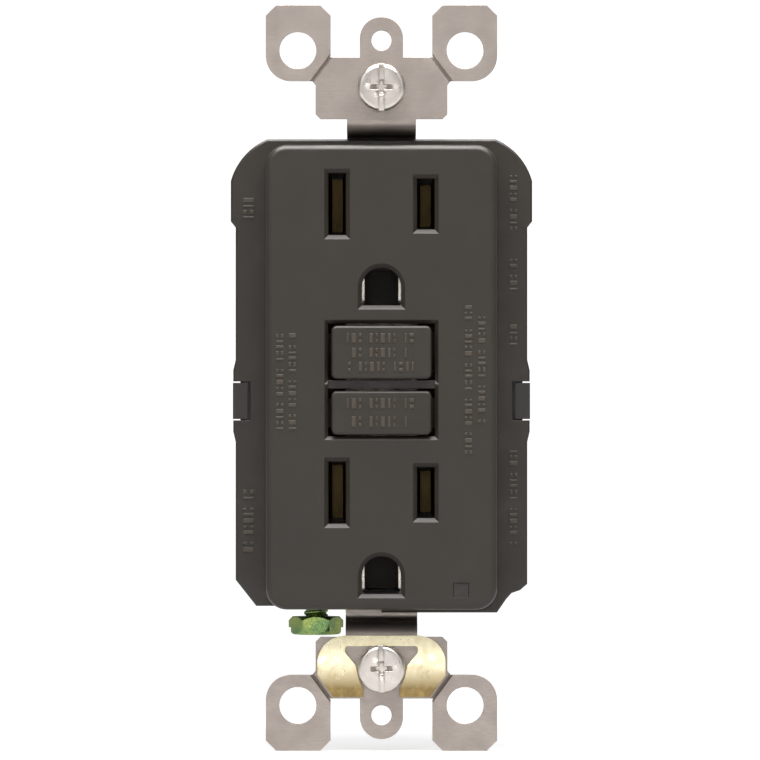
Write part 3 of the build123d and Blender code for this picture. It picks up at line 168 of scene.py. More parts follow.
# ---------------------------------------------------------------- meshes
SHARP_ANGLE = 32
THREAD_ANGLE = 70
ROUND_ANGLE = 80
NEARLY_UPRIGHT = 0.2
SMALLEST_EDGE = 1e-7

# easing of rims: the angle from which an edge counts as a rim, and the steps across it
RIM_ANGLE = 40
RIM_STEPS = 2

# a drawn thread: rings to a turn, turns over which its tip widens, the tip's share of the radius, steepness
RINGS_PER_TURN = 10
TIP_TURNS = 1.5
TIP_SHARE = 0.45
FLANK = 3.1


def new_object(name, data):
    """A named object holding a mesh, a lamp or a camera, in the scene."""
    obj = bpy.data.objects.new(name, data)
    bpy.context.scene.collection.objects.link(obj)
    return obj


def mesh_from(name, points, faces):
    """A mesh from points and faces, with its faces turned outwards."""
    mesh = bpy.data.meshes.new(name)
    mesh.from_pydata([tuple(p) for p in points], [], faces)
    form = bmesh.new()
    form.from_mesh(mesh)
    bmesh.ops.recalc_face_normals(form, faces=form.faces)
    form.to_mesh(mesh)
    form.free()
    return mesh


def soften(mesh, angle=SHARP_ANGLE):
    """Smooth shading with sharp edges kept above an angle."""
    form = bmesh.new()
    form.from_mesh(mesh)
    limit = math.radians(angle)
    for face in form.faces:
        face.smooth = True
    for edge in form.edges:
        edge.smooth = len(edge.link_faces) == 2 and edge.calc_face_angle(0.0) < limit
    form.to_mesh(mesh)
    form.free()


def spun(name, profile, segments):
    """A solid turned about Z from (radius, height) points, from axis to axis or back to their start."""
    points, faces, rings = [], [], []
    for radius, height in profile:
        if radius == 0:
            rings.append([len(points)])
            points.append((0, 0, height))
            continue
        rings.append(list(range(len(points), len(points) + segments)))
        for k in range(segments):
            turn = 2 * math.pi * k / segments
            points.append((radius * math.cos(turn), radius * math.sin(turn), height))
    for low, high in zip(rings, rings[1:]):
        for k in range(segments):
            n = (k + 1) % segments
            face = [low[k % len(low)], low[n % len(low)], high[n % len(high)], high[k % len(high)]]
            faces.append(list(dict.fromkeys(face)))
    return mesh_from(name, points, faces)


def threaded_shank(name, radius, depth, pitch, low, high, segments):
    """A shank along Z with a real helical thread, narrowed towards its tip at the low end."""
    rings = round((high - low) / pitch * RINGS_PER_TURN)
    points, faces = [(0, 0, low)], []
    for i in range(rings + 1):
        z = low + (high - low) * i / rings
        lead = min(1.0, (z - low) / (TIP_TURNS * pitch) + TIP_SHARE)
        for k in range(segments):
            phase = (z / pitch - k / segments) % 1.0
            crest = min(1.0, FLANK * (0.5 - abs(phase - 0.5)))
            r = (radius - depth * (1 - crest)) * lead
            turn = 2 * math.pi * k / segments
            points.append((r * math.cos(turn), r * math.sin(turn), z))
    points.append((0, 0, high))
    last = len(points) - 1
    for k in range(segments):
        n = (k + 1) % segments
        faces.append((0, 1 + n, 1 + k))
        faces.append((last, last - segments + k, last - segments + n))
        for i in range(rings):
            a, b = 1 + i * segments, 1 + (i + 1) * segments
            faces.append((a + k, a + n, b + n, b + k))
    mesh = mesh_from(name, points, faces)
    soften(mesh, THREAD_ANGLE)
    return mesh


def boxy(name, centre, size, taper=1.0, turn=0.0):
    """A box turned about Z, its lower end narrowed to taper in X and by half as much in Y."""
    sx, sy, sz = (v / 2 for v in size)
    points = []
    for z, share in ((-sz, taper), (sz, 1.0)):
        for x, y in ((-sx, -sy), (sx, -sy), (sx, sy), (-sx, sy)):
            points.append(Vector((x * share, y * (0.5 + share / 2), z)))
    spin = Matrix.Rotation(turn, 3, "Z")
    points = [spin @ p + Vector(centre) for p in points]
    faces = [(0, 3, 2, 1), (4, 5, 6, 7), (0, 1, 5, 4), (1, 2, 6, 5), (2, 3, 7, 6), (3, 0, 4, 7)]
    return mesh_from(name, points, faces)


def carve(name, mesh, cutters, bevel):
    """A mesh with cutters taken away and its sharp rims eased."""
    solid = new_object(name, mesh)
    tools = [new_object(f"{name}_cutter", cutter) for cutter in cutters]
    for tool in tools:
        cut = solid.modifiers.new("cut", "BOOLEAN")
        cut.operation, cut.solver, cut.object = "DIFFERENCE", "EXACT", tool
    ease = solid.modifiers.new("ease", "BEVEL")
    ease.width, ease.segments = bevel, RIM_STEPS
    ease.limit_method, ease.angle_limit = "ANGLE", math.radians(RIM_ANGLE)
    ease.use_clamp_overlap = True
    depsgraph = bpy.context.evaluated_depsgraph_get()
    result = bpy.data.meshes.new_from_object(solid.evaluated_get(depsgraph))
    for obj in [solid, *tools]:
        bpy.data.objects.remove(obj)
    form = bmesh.new()
    form.from_mesh(result)
    bmesh.ops.dissolve_degenerate(form, edges=form.edges, dist=SMALLEST_EDGE)
    form.to_mesh(result)
    form.free()
    soften(result)
    return result


def tube(name, path, radius, sides):
    """A wire of one radius along a path of points."""
    points, faces = [], []
    up, aside = Vector((0, 0, 1)), Vector((1, 0, 0))
    for k, at in enumerate(path):
        way = (path[min(k + 1, len(path) - 1)] - path[max(k - 1, 0)]).normalized()
        across = way.cross(up)
        if across.length < NEARLY_UPRIGHT:
            across = way.cross(aside)
        across.normalize()
        lift = across.cross(way)
        for n in range(sides):
            turn = 2 * math.pi * n / sides
            points.append(at + radius * (math.cos(turn) * across + math.sin(turn) * lift))
    for k in range(len(path) - 1):
        a, b = k * sides, (k + 1) * sides
        faces += [(a + n, a + (n + 1) % sides, b + (n + 1) % sides, b + n) for n in range(sides)]
    faces += [tuple(range(sides))[::-1], tuple(range(len(points) - sides, len(points)))]
    mesh = mesh_from(name, points, faces)
    soften(mesh, ROUND_ANGLE)
    return mesh


def joined(name, meshes):
    """One mesh from several."""
    form = bmesh.new()
    for mesh in meshes:
        form.from_mesh(mesh)
    mesh = bpy.data.meshes.new(name)
    form.to_mesh(mesh)
    form.free()
    return mesh


def aimed(mesh, at, towards, turn=0.0):
    """Turns a mesh made along Z so that +Z points towards, and moves its origin."""
    way = Vector(towards).normalized()
    side = Vector((1, 0, 0)) if abs(way.x) < 0.9 else Vector((0, 0, 1))
    right = (side - way * side.dot(way)).normalized()
    up = way.cross(right)
    basis = Matrix((right, up, way)).transposed().to_4x4()
    mesh.transform(Matrix.Translation(at) @ basis @ Matrix.Rotation(turn, 4, "Z"))
    return mesh


def piece(name, mesh, body, material, replaces=()):
    """A finished piece: named, coloured, riding on its body and standing for its CAD nodes."""
    obj = new_object(name, mesh)
    mesh.materials.clear()
    mesh.materials.append(material)
    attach(obj, body)
    if replaces:
        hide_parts(*replaces)
    return obj


# ---------------------------------------------------------------- materials
FINE_EDGE = 0.08 * MM

# colours of what lies inside or is small, as shares of red, green and blue light
NYLON = (0.62, 0.57, 0.46)
FIBRE = (0.3, 0.19, 0.09)
SMOKED = (0.035, 0.03, 0.025)
LAMP_GREEN = (0.12, 0.4, 0.12)
GROUND_METAL = (0.6, 0.55, 0.5)
MILD_STEEL = (0.42, 0.41, 0.4)
SILVER = (0.86, 0.84, 0.8)
SPRING_STEEL = (0.5, 0.49, 0.48)
EPOXY = (0.02, 0.02, 0.022)
CORE_TAPE = (0.05, 0.08, 0.2)
SOLDER_MASK = (0.012, 0.07, 0.03)
MASK_ON_GLASS = (0.02, 0.1, 0.042)


class Shader:
    """A material's node tree, with short calls for the nodes these finishes share."""

    def __init__(self, name):
        self.material = bpy.data.materials.new(name)
        self.material.use_nodes = True
        self.tree = self.material.node_tree
        self.surface = self.tree.nodes["Principled BSDF"]
        self.where = self.tree.nodes.new("ShaderNodeTexCoord").outputs["Object"]

    def scaled(self, x, y, z):
        """Object coordinates in units of x, y and z to the millimetre."""
        node = self.tree.nodes.new("ShaderNodeMapping")
        self.tree.links.new(self.where, node.inputs["Vector"])
        node.inputs["Scale"].default_value = (x / MM, y / MM, z / MM)
        return node.outputs["Vector"]

    def noise(self, scale, detail=3.0, vector=None):
        """Noise in object space; scale is its size's inverse in 1/mm."""
        node = self.tree.nodes.new("ShaderNodeTexNoise")
        self.tree.links.new(vector or self.scaled(1, 1, 1), node.inputs["Vector"])
        node.inputs["Scale"].default_value = scale
        node.inputs["Detail"].default_value = detail
        return node.outputs["Fac"]

    def spread(self, value, low, high, start=0.3, end=0.7):
        """A value mapped from start..end to low..high."""
        node = self.tree.nodes.new("ShaderNodeMapRange")
        self.tree.links.new(value, node.inputs["Value"])
        for key, number in (("From Min", start), ("From Max", end), ("To Min", low), ("To Max", high)):
            node.inputs[key].default_value = number
        return node.outputs["Result"]

    def mixed(self, share, first, second):
        """A colour between two colours."""
        node = self.tree.nodes.new("ShaderNodeMix")
        node.data_type = "RGBA"
        self.tree.links.new(share, node.inputs["Factor"])
        for key, value in ((6, first), (7, second)):
            if isinstance(value, bpy.types.NodeSocket):
                self.tree.links.new(value, node.inputs[key])
            else:
                node.inputs[key].default_value = (*value, 1.0)
        return node.outputs[2]

    def relief(self, value, height, strength=1.0, edge=0.0):
        """Bump from a value, over edges rounded by edge."""
        bump = self.tree.nodes.new("ShaderNodeBump")
        bump.inputs["Strength"].default_value = strength
        bump.inputs["Distance"].default_value = height
        self.tree.links.new(value, bump.inputs["Height"])
        if edge:
            bevel = self.tree.nodes.new("ShaderNodeBevel")
            bevel.samples = 4
            bevel.inputs["Radius"].default_value = edge
            self.tree.links.new(bevel.outputs["Normal"], bump.inputs["Normal"])
        self.tree.links.new(bump.outputs["Normal"], self.surface.inputs["Normal"])

    def link(self, value, name):
        """A value into one of the surface's inputs."""
        self.tree.links.new(value, self.surface.inputs[name])

    def fix(self, **values):
        """Plain numbers on the surface's own inputs."""
        for key, value in values.items():
            self.surface.inputs[key.replace("_", " ")].default_value = value


def shade(rgb, share):
    """A colour made lighter or darker."""
    return [min(1.0, v * share) for v in rgb]


def moulded(name, rgb, rough=0.38, grain=5.0, height=0.012, edge=0.12 * MM, sheen=0.4):
    """Moulded plastic with a spark-eroded grain, faint flow clouds and eased edges."""
    s = Shader(name)
    clouds = s.noise(0.09, 4.0)
    fine = s.noise(grain, 2.0)
    base = s.mixed(s.spread(clouds, 0, 1), shade(rgb, 0.93), shade(rgb, 1.08))
    s.link(s.mixed(s.spread(fine, 0.0, 0.35, 0.45, 0.75), base, shade(rgb, 1.35)), "Base Color")
    s.link(s.spread(s.noise(0.35, 5.0), rough - 0.06, rough + 0.08), "Roughness")
    s.relief(fine, height * MM, 0.5, edge)
    s.fix(Specular_IOR_Level=sheen)
    return s.material


def plated(name, rgb, rough=0.36, streak=(0.4, 0.4, 4.0), height=0.004, edge=0.1 * MM, blotch=0.16):
    """Plated or rolled metal with rolling streaks, faint blotches and eased edges."""
    s = Shader(name)
    lines = s.noise(2.2, 4.0, s.scaled(*streak))
    clouds = s.noise(0.22, 5.0)
    base = s.mixed(s.spread(clouds, 0, 1), shade(rgb, 1 - blotch), shade(rgb, 1 + blotch * 0.4))
    s.link(s.mixed(s.spread(lines, 0.0, 0.3, 0.35, 0.75), base, shade(rgb, 0.72)), "Base Color")
    s.link(s.spread(lines, rough - 0.07, rough + 0.1), "Roughness")
    s.relief(lines, height * MM, 0.6, edge)
    s.fix(Metallic=1.0)
    return s.material


def brass_painted_light(name, pale, deep, low, high):
    """Brass painted pale towards the upper height as a painted highlight and dark towards the lower height
    as painted shade, with handling marks.
    """
    s = Shader(name)
    split = s.tree.nodes.new("ShaderNodeSeparateXYZ")
    s.tree.links.new(s.where, split.inputs[0])
    tone = s.spread(split.outputs["Z"], 0.0, 1.0, low, high)
    marks = s.noise(0.9, 5.0)
    # painted shade at the low height, painted highlight at the high height
    base = s.mixed(tone, shade(deep, 0.32), pale)
    s.link(s.mixed(s.spread(marks, 0.0, 0.35, 0.45, 0.7), base, shade(deep, 0.8)), "Base Color")
    s.link(s.spread(marks, 0.24, 0.4), "Roughness")
    s.relief(marks, 0.006 * MM, 0.5, FINE_EDGE)
    s.fix(Metallic=1.0)
    return s.material


def dichromate(name, rgb):
    """Green plating that drifts between yellow-green and blue-green."""
    s = Shader(name)
    drift = s.noise(0.35, 3.0)
    yellowish = (rgb[0] * 1.7, rgb[1] * 1.25, rgb[2] * 0.9)
    bluish = (rgb[0] * 0.45, rgb[1] * 0.7, rgb[2] * 0.9)
    s.link(s.mixed(s.spread(drift, 0, 1), yellowish, bluish), "Base Color")
    fine = s.noise(3.0, 4.0)
    s.link(s.spread(fine, 0.22, 0.36), "Roughness")
    s.relief(fine, 0.008 * MM, 0.5, FINE_EDGE)
    s.fix(Metallic=0.9)
    return s.material


def laminate(name):
    """Solder mask over a woven glass board."""
    s = Shader(name)
    wave = s.tree.nodes.new("ShaderNodeTexWave")
    s.tree.links.new(s.scaled(1, 1, 1), wave.inputs["Vector"])
    wave.bands_direction = "Z"
    wave.inputs["Scale"].default_value = 0.9
    weave = wave.outputs["Fac"]
    s.link(s.mixed(s.spread(weave, 0, 1, 0.2, 0.8), SOLDER_MASK, MASK_ON_GLASS), "Base Color")
    s.link(s.spread(s.noise(1.2), 0.2, 0.34), "Roughness")
    s.relief(weave, 0.01 * MM, 0.4, FINE_EDGE)
    s.fix(Coat_Weight=0.4, Coat_Roughness=0.15)
    return s.material


def tinted_lens(name, rgb):
    """Clear plastic with a smoky tint and faint flow lines."""
    s = Shader(name)
    flow = s.noise(0.8, 2.0)
    s.link(s.mixed(s.spread(flow, 0, 1), shade(rgb, 0.8), shade(rgb, 1.2)), "Base Color")
    s.link(s.spread(flow, 0.3, 0.4), "Roughness")
    s.relief(flow, 0.01 * MM, 0.3)
    s.fix(Transmission_Weight=0.55, IOR=1.49, Specular_IOR_Level=0.25)
    return s.material


def give(material, *names):
    """Gives CAD nodes a material in every slot."""
    for name in names:
        mesh = NODES[name].data
        if not mesh.materials:
            mesh.materials.append(material)
        for k in range(len(mesh.materials)):
            mesh.materials[k] = material


# the materials made so far, by name
FINISHES = {}


def finish(name, make, *values, **more):
    """A named material, made once."""
    if name not in FINISHES:
        FINISHES[name] = make(name, *values, **more)
    return FINISHES[name]


def cover_plastic():
    """The cover's plastic."""
    return finish("cover_moulding", moulded, settings().colours.cover)


def button_plastic():
    """The buttons' plastic, a little duller and finer than the cover's."""
    plastic = settings().colours.button
    return finish("button_moulding", moulded, plastic, rough=0.46, grain=7.0, height=0.008)


def housing_plastic():
    """The rear housing's plastic."""
    return finish("housing_moulding", moulded, settings().colours.housing, rough=0.42, grain=4.0)


def screw_steel():
    """Bright zinc on screws and clamps."""
    zinc = settings().colours.screw
    return finish("screw_zinc", plated, zinc, rough=0.3, streak=(0.3, 0.3, 0.3), blotch=0.04)


def brass_metal():
    """Bright brass on the hot side's wire screws."""
    brass = settings().colours.brass
    return finish("brass_metal", plated, brass, rough=0.28, streak=(3, 0.4, 0.4), blotch=0.12)


# ---------------------------------------------------------------- plastics, metals and board
BRASS_PARTS = (
    *(f"{side}_terminal" for side in SIDES),
    "ground_rivets",
    "hot_bus",
    "neutral_bus",
    "hot_contact_arm",
    "neutral_contact_arm",
    "hot_line_conductor",
    "neutral_line_conductor",
    "test_blade",
    "test_anchor",
    "test_contact",
)

# springs driven by joints: node, joint, axis, whether the high end stays, travel at the joint's limit
SPRINGS = (
    ("test_spring", "test_press", 1, True, 1.5 * MM),
    ("latch_spring", "slider_trip", 2, False, 2.2 * MM),
    ("plunger_spring", "plunger_pull", 2, False, 2.86 * MM),
)

# how far above its lower edge the clip's painted shade starts to lift, and how far below its upper edge its
# painted highlight is full
CLIP_SHADE_RISE, CLIP_HIGHLIGHT_DROP = 1.2 * MM, 3.5 * MM


class RECEPTACLE_OT_mouldings(bpy.types.Operator):
    """Finish the moulded plastics: cover, buttons, housing and inner mouldings"""

    bl_idname = "receptacle.mouldings"
    bl_label = "Finish Mouldings"
    bl_options = {"REGISTER", "UNDO"}

    def execute(self, context):
        give(cover_plastic(), "front_cover")
        give(button_plastic(), "reset_button", "test_button")
        give(housing_plastic(), "rear_housing")
        grey = settings().colours.carrier
        inner = finish("glass_filled_nylon", moulded, grey, rough=0.55, grain=3.0, height=0.02)
        give(inner, "contact_carrier", "latch_block")
        nylon = finish("nylon", moulded, NYLON, rough=0.4, grain=3.0, height=0.006)
        give(nylon, "coil_bobbin")
        fibre = finish("pressed_fibre", moulded, FIBRE, rough=0.75, grain=2.2, height=0.03, sheen=0.2)
        give(fibre, "screw_retainer_top", "screw_retainer_bottom")
        give(finish("smoked_lens", tinted_lens, SMOKED), "light_pipe")
        give(finish("lamp_epoxy", tinted_lens, LAMP_GREEN), "indicator_lamp")
        return {"FINISHED"}


class RECEPTACLE_OT_metals(bpy.types.Operator):
    """Finish the strap, the brass, the springs and the inner metals"""

    bl_idname = "receptacle.metals"
    bl_label = "Finish Metals"
    bl_options = {"REGISTER", "UNDO"}

    def execute(self, context):
        colours = settings().colours
        strap = finish("strap_steel", plated, colours.steel, rough=0.4, streak=(0.5, 0.5, 3.0))
        give(strap, "mounting_strap")
        # contact brass darkened to a quarter of its colour: painted shade for the contacts seen down the
        # slots
        brass_painted_shade = shade(colours.brass, 0.25)
        give(finish("contact_brass", plated, brass_painted_shade, rough=0.5, streak=(3, 0.4, 0.4)), *BRASS_PARTS)
        fingers = finish("ground_contact_metal", plated, GROUND_METAL, rough=0.3)
        give(fingers, "ground_contact_upper", "ground_contact_lower")
        low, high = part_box("grounding_clip")
        # the clip's brass carries a painted highlight towards its top and painted shade towards its bottom
        tones = (colours.brass_highlight_paint, colours.brass)
        leaf = finish("clip_brass", brass_painted_light, *tones, low[2] + CLIP_SHADE_RISE, high[2] - CLIP_HIGHLIGHT_DROP)
        give(leaf, "grounding_clip", "clip_rivets")
        give(screw_steel(), *(f"{side}_clamp" for side in SIDES))
        mild = finish("mild_steel", plated, MILD_STEEL, rough=0.38)
        give(mild, "coil_frame", "latch_slider", "reset_pin", "plunger")
        silver = finish("contact_silver", plated, SILVER, rough=0.2, streak=(1, 1, 1))
        give(silver, "moving_contacts", "fixed_contacts")
        wire = finish("spring_wire", plated, SPRING_STEEL, rough=0.25, streak=(2, 2, 2))
        give(wire, "reset_spring", "test_spring", "latch_spring", "plunger_spring")
        self.shorten_springs()
        return {"FINISHED"}

    def shorten_springs(self):
        """Gives each spring that a joint drives a mesh of its own and finds the end that would stay;
        nothing here makes it shorten.
        """
        for name, joint, axis, end, travel in SPRINGS:
            low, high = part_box(name)
            anchor = list(low)
            anchor[axis] = high[axis] if end else low[axis]
            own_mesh(NODES[name])


class RECEPTACLE_OT_electronics(bpy.types.Operator):
    """Finish the board and the devices on it"""

    bl_idname = "receptacle.electronics"
    bl_label = "Finish Electronics"
    bl_options = {"REGISTER", "UNDO"}

    def execute(self, context):
        give(finish("board_laminate", laminate), "circuit_board")
        epoxy = finish("black_epoxy", moulded, EPOXY, rough=0.35, grain=6.0, height=0.01)
        give(epoxy, "board_parts", "control_chip")
        return {"FINISHED"}


# ---------------------------------------------------------------- screws
HEAD_STEPS = 7

# a head's outline, as shares of its crown's height: the round at its edge, how far below the top that ends,
# and a slight fall inside it, which lies at a share of the head's radius
EDGE_ROUND, EDGE_DIP, CROWN_FALL = 0.62, 0.12, 0.03
CROWN_FALL_R = 0.45
HEAD_RIM = 0.12 * MM
HEAD_THICK = 2.3 * MM
HEAD_CROWN = 1.1 * MM
RECESS_EASE = 0.07 * MM
CROSS_RISE = 0.2 * MM
CROSS_TAPER = 0.45
SHANK_SEGMENTS = 32

# how far a shank reaches into its head, and a mark into its face
SUNK = 0.1 * MM

BOX_SCREW_R = 1.75 * MM
BOX_SCREW_TURNS = (("top", 0.0), ("bottom", 0.03))
WIRE_SCREW_R = 2.05 * MM
WIRE_RECESS = 1.05
WIRE_TURN_START, WIRE_TURN_STEP = 0.5, 0.7

CASE_TURN = 0.6
CASE_HEAD_R = 2.2 * MM
CASE_HEAD_THICK = 1.7 * MM
CASE_CROWN = 0.8 * MM
CASE_RECESS = 0.7
CASE_SHANK_R = 1.01 * MM
CASE_THREAD_DEPTH = 0.2 * MM
CASE_PITCH = 0.9 * MM
CASE_SEGMENTS = 20

GROUND_HEAD_THICK = 2.7 * MM
GROUND_SHANK_R = 1.75 * MM
GROUND_SLOT = (20 * MM, 1.1 * MM, 2.2 * MM)
GROUND_EASE = 0.12 * MM
GROUND_SEGMENTS = 72
FLAT_CUTTER = (8 * MM, 20 * MM, 10 * MM)


def combination_head(name, radius, thick, crown, sizes, scale=1.0):
    """A screw head along Z, top at 0, with a straight slot over a cross recess."""
    profile = [(0.0, -thick), (radius - HEAD_RIM, -thick), (radius, -thick + HEAD_RIM)]
    ease, dip = crown * EDGE_ROUND, crown * EDGE_DIP
    for k in range(HEAD_STEPS + 1):
        turn = math.pi / 2 * k / HEAD_STEPS
        profile.append((radius - ease + ease * math.cos(turn), -ease - dip + ease * math.sin(turn)))
    profile += [(radius * CROWN_FALL_R, -crown * CROWN_FALL), (0.0, 0.0)]
    head = spun(name, profile, sizes.segments)
    cutters = [boxy("slot", (0, 0, 0), (sizes.slot * scale, radius * 3, sizes.slot_depth * 2 * scale))]
    deep = sizes.cross_depth * scale
    wing = (sizes.cross * 2 * scale, sizes.cross_width * scale, deep)
    for turn in (0, math.pi / 2):
        cutters.append(boxy("wing", (0, 0, CROSS_RISE - deep / 2), wing, CROSS_TAPER, turn))
    return carve(name, head, cutters, RECESS_EASE)


def place_screw(name, node, body, way, radius, material, turn, scale=1.0):
    """A detailed screw over a CAD screw's box, its head towards way."""
    sizes = settings().screws
    low, high = (Vector(corner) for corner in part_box(node))
    axis = max(range(3), key=lambda k: abs(way[k]))
    top, tip = (high[axis], low[axis]) if way[axis] > 0 else (low[axis], high[axis])
    centre = (low + high) / 2
    centre[axis] = top
    head_r = max(high[k] - low[k] for k in range(3) if k != axis) / 2
    head = combination_head(name, head_r, HEAD_THICK, HEAD_CROWN, sizes, scale)
    reach = (-abs(top - tip), -HEAD_THICK + SUNK)
    shank = threaded_shank(name, radius, sizes.depth, sizes.pitch, *reach, SHANK_SEGMENTS)
    mesh = aimed(joined(name, [head, shank]), centre, way, turn)
    piece(name, mesh, body, material, (node,))


class RECEPTACLE_OT_mounting_screws(bpy.types.Operator):
    """Build the two box screws with their threads and recesses"""

    bl_idname = "receptacle.mounting_screws"
    bl_label = "Build Box Screws"
    bl_options = {"REGISTER", "UNDO"}

    def execute(self, context):
        steel, slot = screw_steel(), "screw_steel"
        for end, turn in BOX_SCREW_TURNS:
            node, body = f"mounting_screw_{end}", f"{end}_screw"
            place_screw(f"box_screw_{end}", node, body, (0, -1, 0), BOX_SCREW_R, steel, turn)
        return {"FINISHED"}


class RECEPTACLE_OT_terminal_screws(bpy.types.Operator):
    """Build the four wire screws, brass on the hot side and bright on the neutral side"""

    bl_idname = "receptacle.terminal_screws"
    bl_label = "Build Wire Screws"
    bl_options = {"REGISTER", "UNDO"}

    def execute(self, context):
        for k, side in enumerate(SIDES):
            if "hot" in side:
                way, metal, slot = (1, 0, 0), brass_metal(), "brass"
            else:
                way, metal, slot = (-1, 0, 0), screw_steel(), "screw_steel"
            name, node, turn = f"{side}_wire_screw", f"{side}_screw", WIRE_TURN_START + WIRE_TURN_STEP * k
            place_screw(name, node, node, way, WIRE_SCREW_R, metal, turn, WIRE_RECESS)
        return {"FINISHED"}


class RECEPTACLE_OT_assembly_screws(bpy.types.Operator):
    """Build the four long case screws, seen only by their heads at the back"""

    bl_idname = "receptacle.assembly_screws"
    bl_label = "Build Case Screws"
    bl_options = {"REGISTER", "UNDO"}

    def execute(self, context):
        low, high = (Vector(corner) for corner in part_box("assembly_screws"))
        shape = (CASE_HEAD_R, CASE_HEAD_THICK, CASE_CROWN, settings().screws, CASE_RECESS)
        reach = (low.y - high.y, -CASE_HEAD_THICK + SUNK)
        thread = (CASE_SHANK_R, CASE_THREAD_DEPTH, CASE_PITCH, *reach, CASE_SEGMENTS)
        meshes = []
        for k in range(4):
            x = (low.x + CASE_HEAD_R) if k % 2 else (high.x - CASE_HEAD_R)
            z = (low.z + CASE_HEAD_R) if k // 2 else (high.z - CASE_HEAD_R)
            head = combination_head("case_screw", *shape)
            screw = joined("case_screw", [head, threaded_shank("case_screw", *thread)])
            meshes.append(aimed(screw, (x, high.y, z), (0, 1, 0), CASE_TURN * k))
        mesh = joined("case_screws", meshes)
        piece("case_screws", mesh, "receptacle", screw_steel(), ("assembly_screws",))
        return {"FINISHED"}


class RECEPTACLE_OT_ground_screw(bpy.types.Operator):
    """Build the green hexagon-head ground screw"""

    bl_idname = "receptacle.ground_screw"
    bl_label = "Build Ground Screw"
    bl_options = {"REGISTER", "UNDO"}

    def execute(self, context):
        sizes = settings().screws
        low, high = (Vector(corner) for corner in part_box("ground_screw"))
        centre = Vector(((low.x + high.x) / 2, (low.y + high.y) / 2, low.z))
        head = self.hexagon_head((high.x - low.x) / 2)
        reach = (low.z - high.z, -GROUND_HEAD_THICK + SUNK)
        thread = (GROUND_SHANK_R, sizes.depth, sizes.pitch, *reach, SHANK_SEGMENTS)
        shank = threaded_shank("ground_shank", *thread)
        mesh = aimed(joined("green_screw", [head, shank]), centre, (0, 0, -1))
        green = finish("green_plating", dichromate, settings().colours.green)
        screw = piece("green_screw", mesh, "ground_screw", green, ("ground_screw",))
        link_lamp(bpy.data.objects["front_right"], "shaded_on_the_right", screw, spare=True)
        return {"FINISHED"}

    def hexagon_head(self, radius):
        """A slotted head with six flats and a domed top at 0."""
        thick = GROUND_HEAD_THICK
        dome = [
            (0.0, -thick),
            (radius * 0.86, -thick),
            (radius * 1.01, -thick + 0.6 * MM),
            (radius * 1.02, -thick / 2),
            (radius * 0.99, -0.7 * MM),
            (radius * 0.86, -0.12 * MM),
            (radius * 0.6, 0.0),
            (0.0, 0.0),
        ]
        head = spun("ground_head", dome, GROUND_SEGMENTS)
        cutters = []
        across = radius * math.cos(math.pi / 6)
        for k in range(6):
            turn = math.pi / 3 * k + math.pi / 6
            at = Matrix.Rotation(turn, 3, "Z") @ Vector((across + FLAT_CUTTER[0] / 2, 0, -thick / 2))
            cutters.append(boxy("flat", at, FLAT_CUTTER, turn=turn))
        cutters.append(boxy("slot", (0, 0, 0), GROUND_SLOT))
        return carve("ground_head", head, cutters, GROUND_EASE)


# ---------------------------------------------------------------- blank marks
MARK_SLOPE = 0.04 * MM
# marks are lighter than their plastic by this share, a painted highlight on their raised tops
MARK_HIGHLIGHT_SHARE = 2.6
MARK_WIDTHS = (1.0, 1.6, 1.0, 2.0, 1.3)
WORD_STEPS = 6
BROKEN_STEPS = 3
BROKEN_SHARE = 1.1 / 3
SHOULDER_Y = 0.8 * MM

# lines along Z in millimetres: lower end, upper end, their two edges in X, and where the pattern starts
FACE_LINES = (
    (-7.4, 6.8, (-15.1, -14.0), 0),
    (-7.4, 6.8, (-13.3, -12.2), 2),
    (-10.9, 11.0, (11.9, 13.0), 1),
    (-6.4, 9.6, (13.8, 14.9), 4),
)
SHOULDER_LINES = (
    (22.9, 26.4, (-19.9, -18.3), 0),
    (-25.0, -15.4, (-19.9, -18.3), 3),
    (21.2, 29.6, (18.4, 19.5), 1),
    (12.6, 17.6, (18.4, 19.5), 2),
    (4.7, 8.3, (18.4, 19.5), 0),
    (-24.0, -10.4, (18.4, 19.5), 4),
)

# rows along X in millimetres: half their length and their two edges in Z
BUTTON_ROWS = {
    "reset": ((5.0, (5.0, 6.4)), (4.3, (2.9, 4.3)), (4.8, (0.9, 2.3))),
    "test": ((5.0, (-4.4, -2.9)), (4.3, (-7.0, -5.5))),
}


def bars(name, rects, front, back):
    """Raised bars with sloped sides on a face that looks towards -Y, each given as (x0, x1, z0, z1)."""
    points, faces = [], []
    for x0, x1, z0, z1 in rects:
        n = len(points)
        for y, s in ((back, 0.0), (front, MARK_SLOPE)):
            points += [(x0 + s, y, z0 + s), (x1 - s, y, z0 + s), (x1 - s, y, z1 - s), (x0 + s, y, z1 - s)]
        faces += [(n, n + 3, n + 2, n + 1), (n + 4, n + 5, n + 6, n + 7)]
        faces += [(n + k, n + (k + 1) % 4, n + 4 + (k + 1) % 4, n + 4 + k) for k in range(4)]
    return mesh_from(name, points, faces)


def blank_line(start, end, edges, upright, seed):
    """Bars for one line of blank marks, in place of any words: lengths in millimetres, upright along Z."""
    sizes = settings().marks
    at, end = start * MM, end * MM
    low, high = (v * MM for v in edges)
    part = (high - low) * BROKEN_SHARE
    rects, n = [], seed
    while at + sizes.stroke < end:
        stop = min(at + sizes.stroke * MARK_WIDTHS[n % len(MARK_WIDTHS)], end)
        if n % WORD_STEPS != WORD_STEPS - 1:
            strokes = [(low, high)]
            if n % BROKEN_STEPS == 1:
                strokes = [(low, low + part), (high - part, high)]
            for a, b in strokes:
                rects.append((a, b, at, stop) if upright else (at, stop, a, b))
        at, n = stop + sizes.gap, n + 1
    return rects


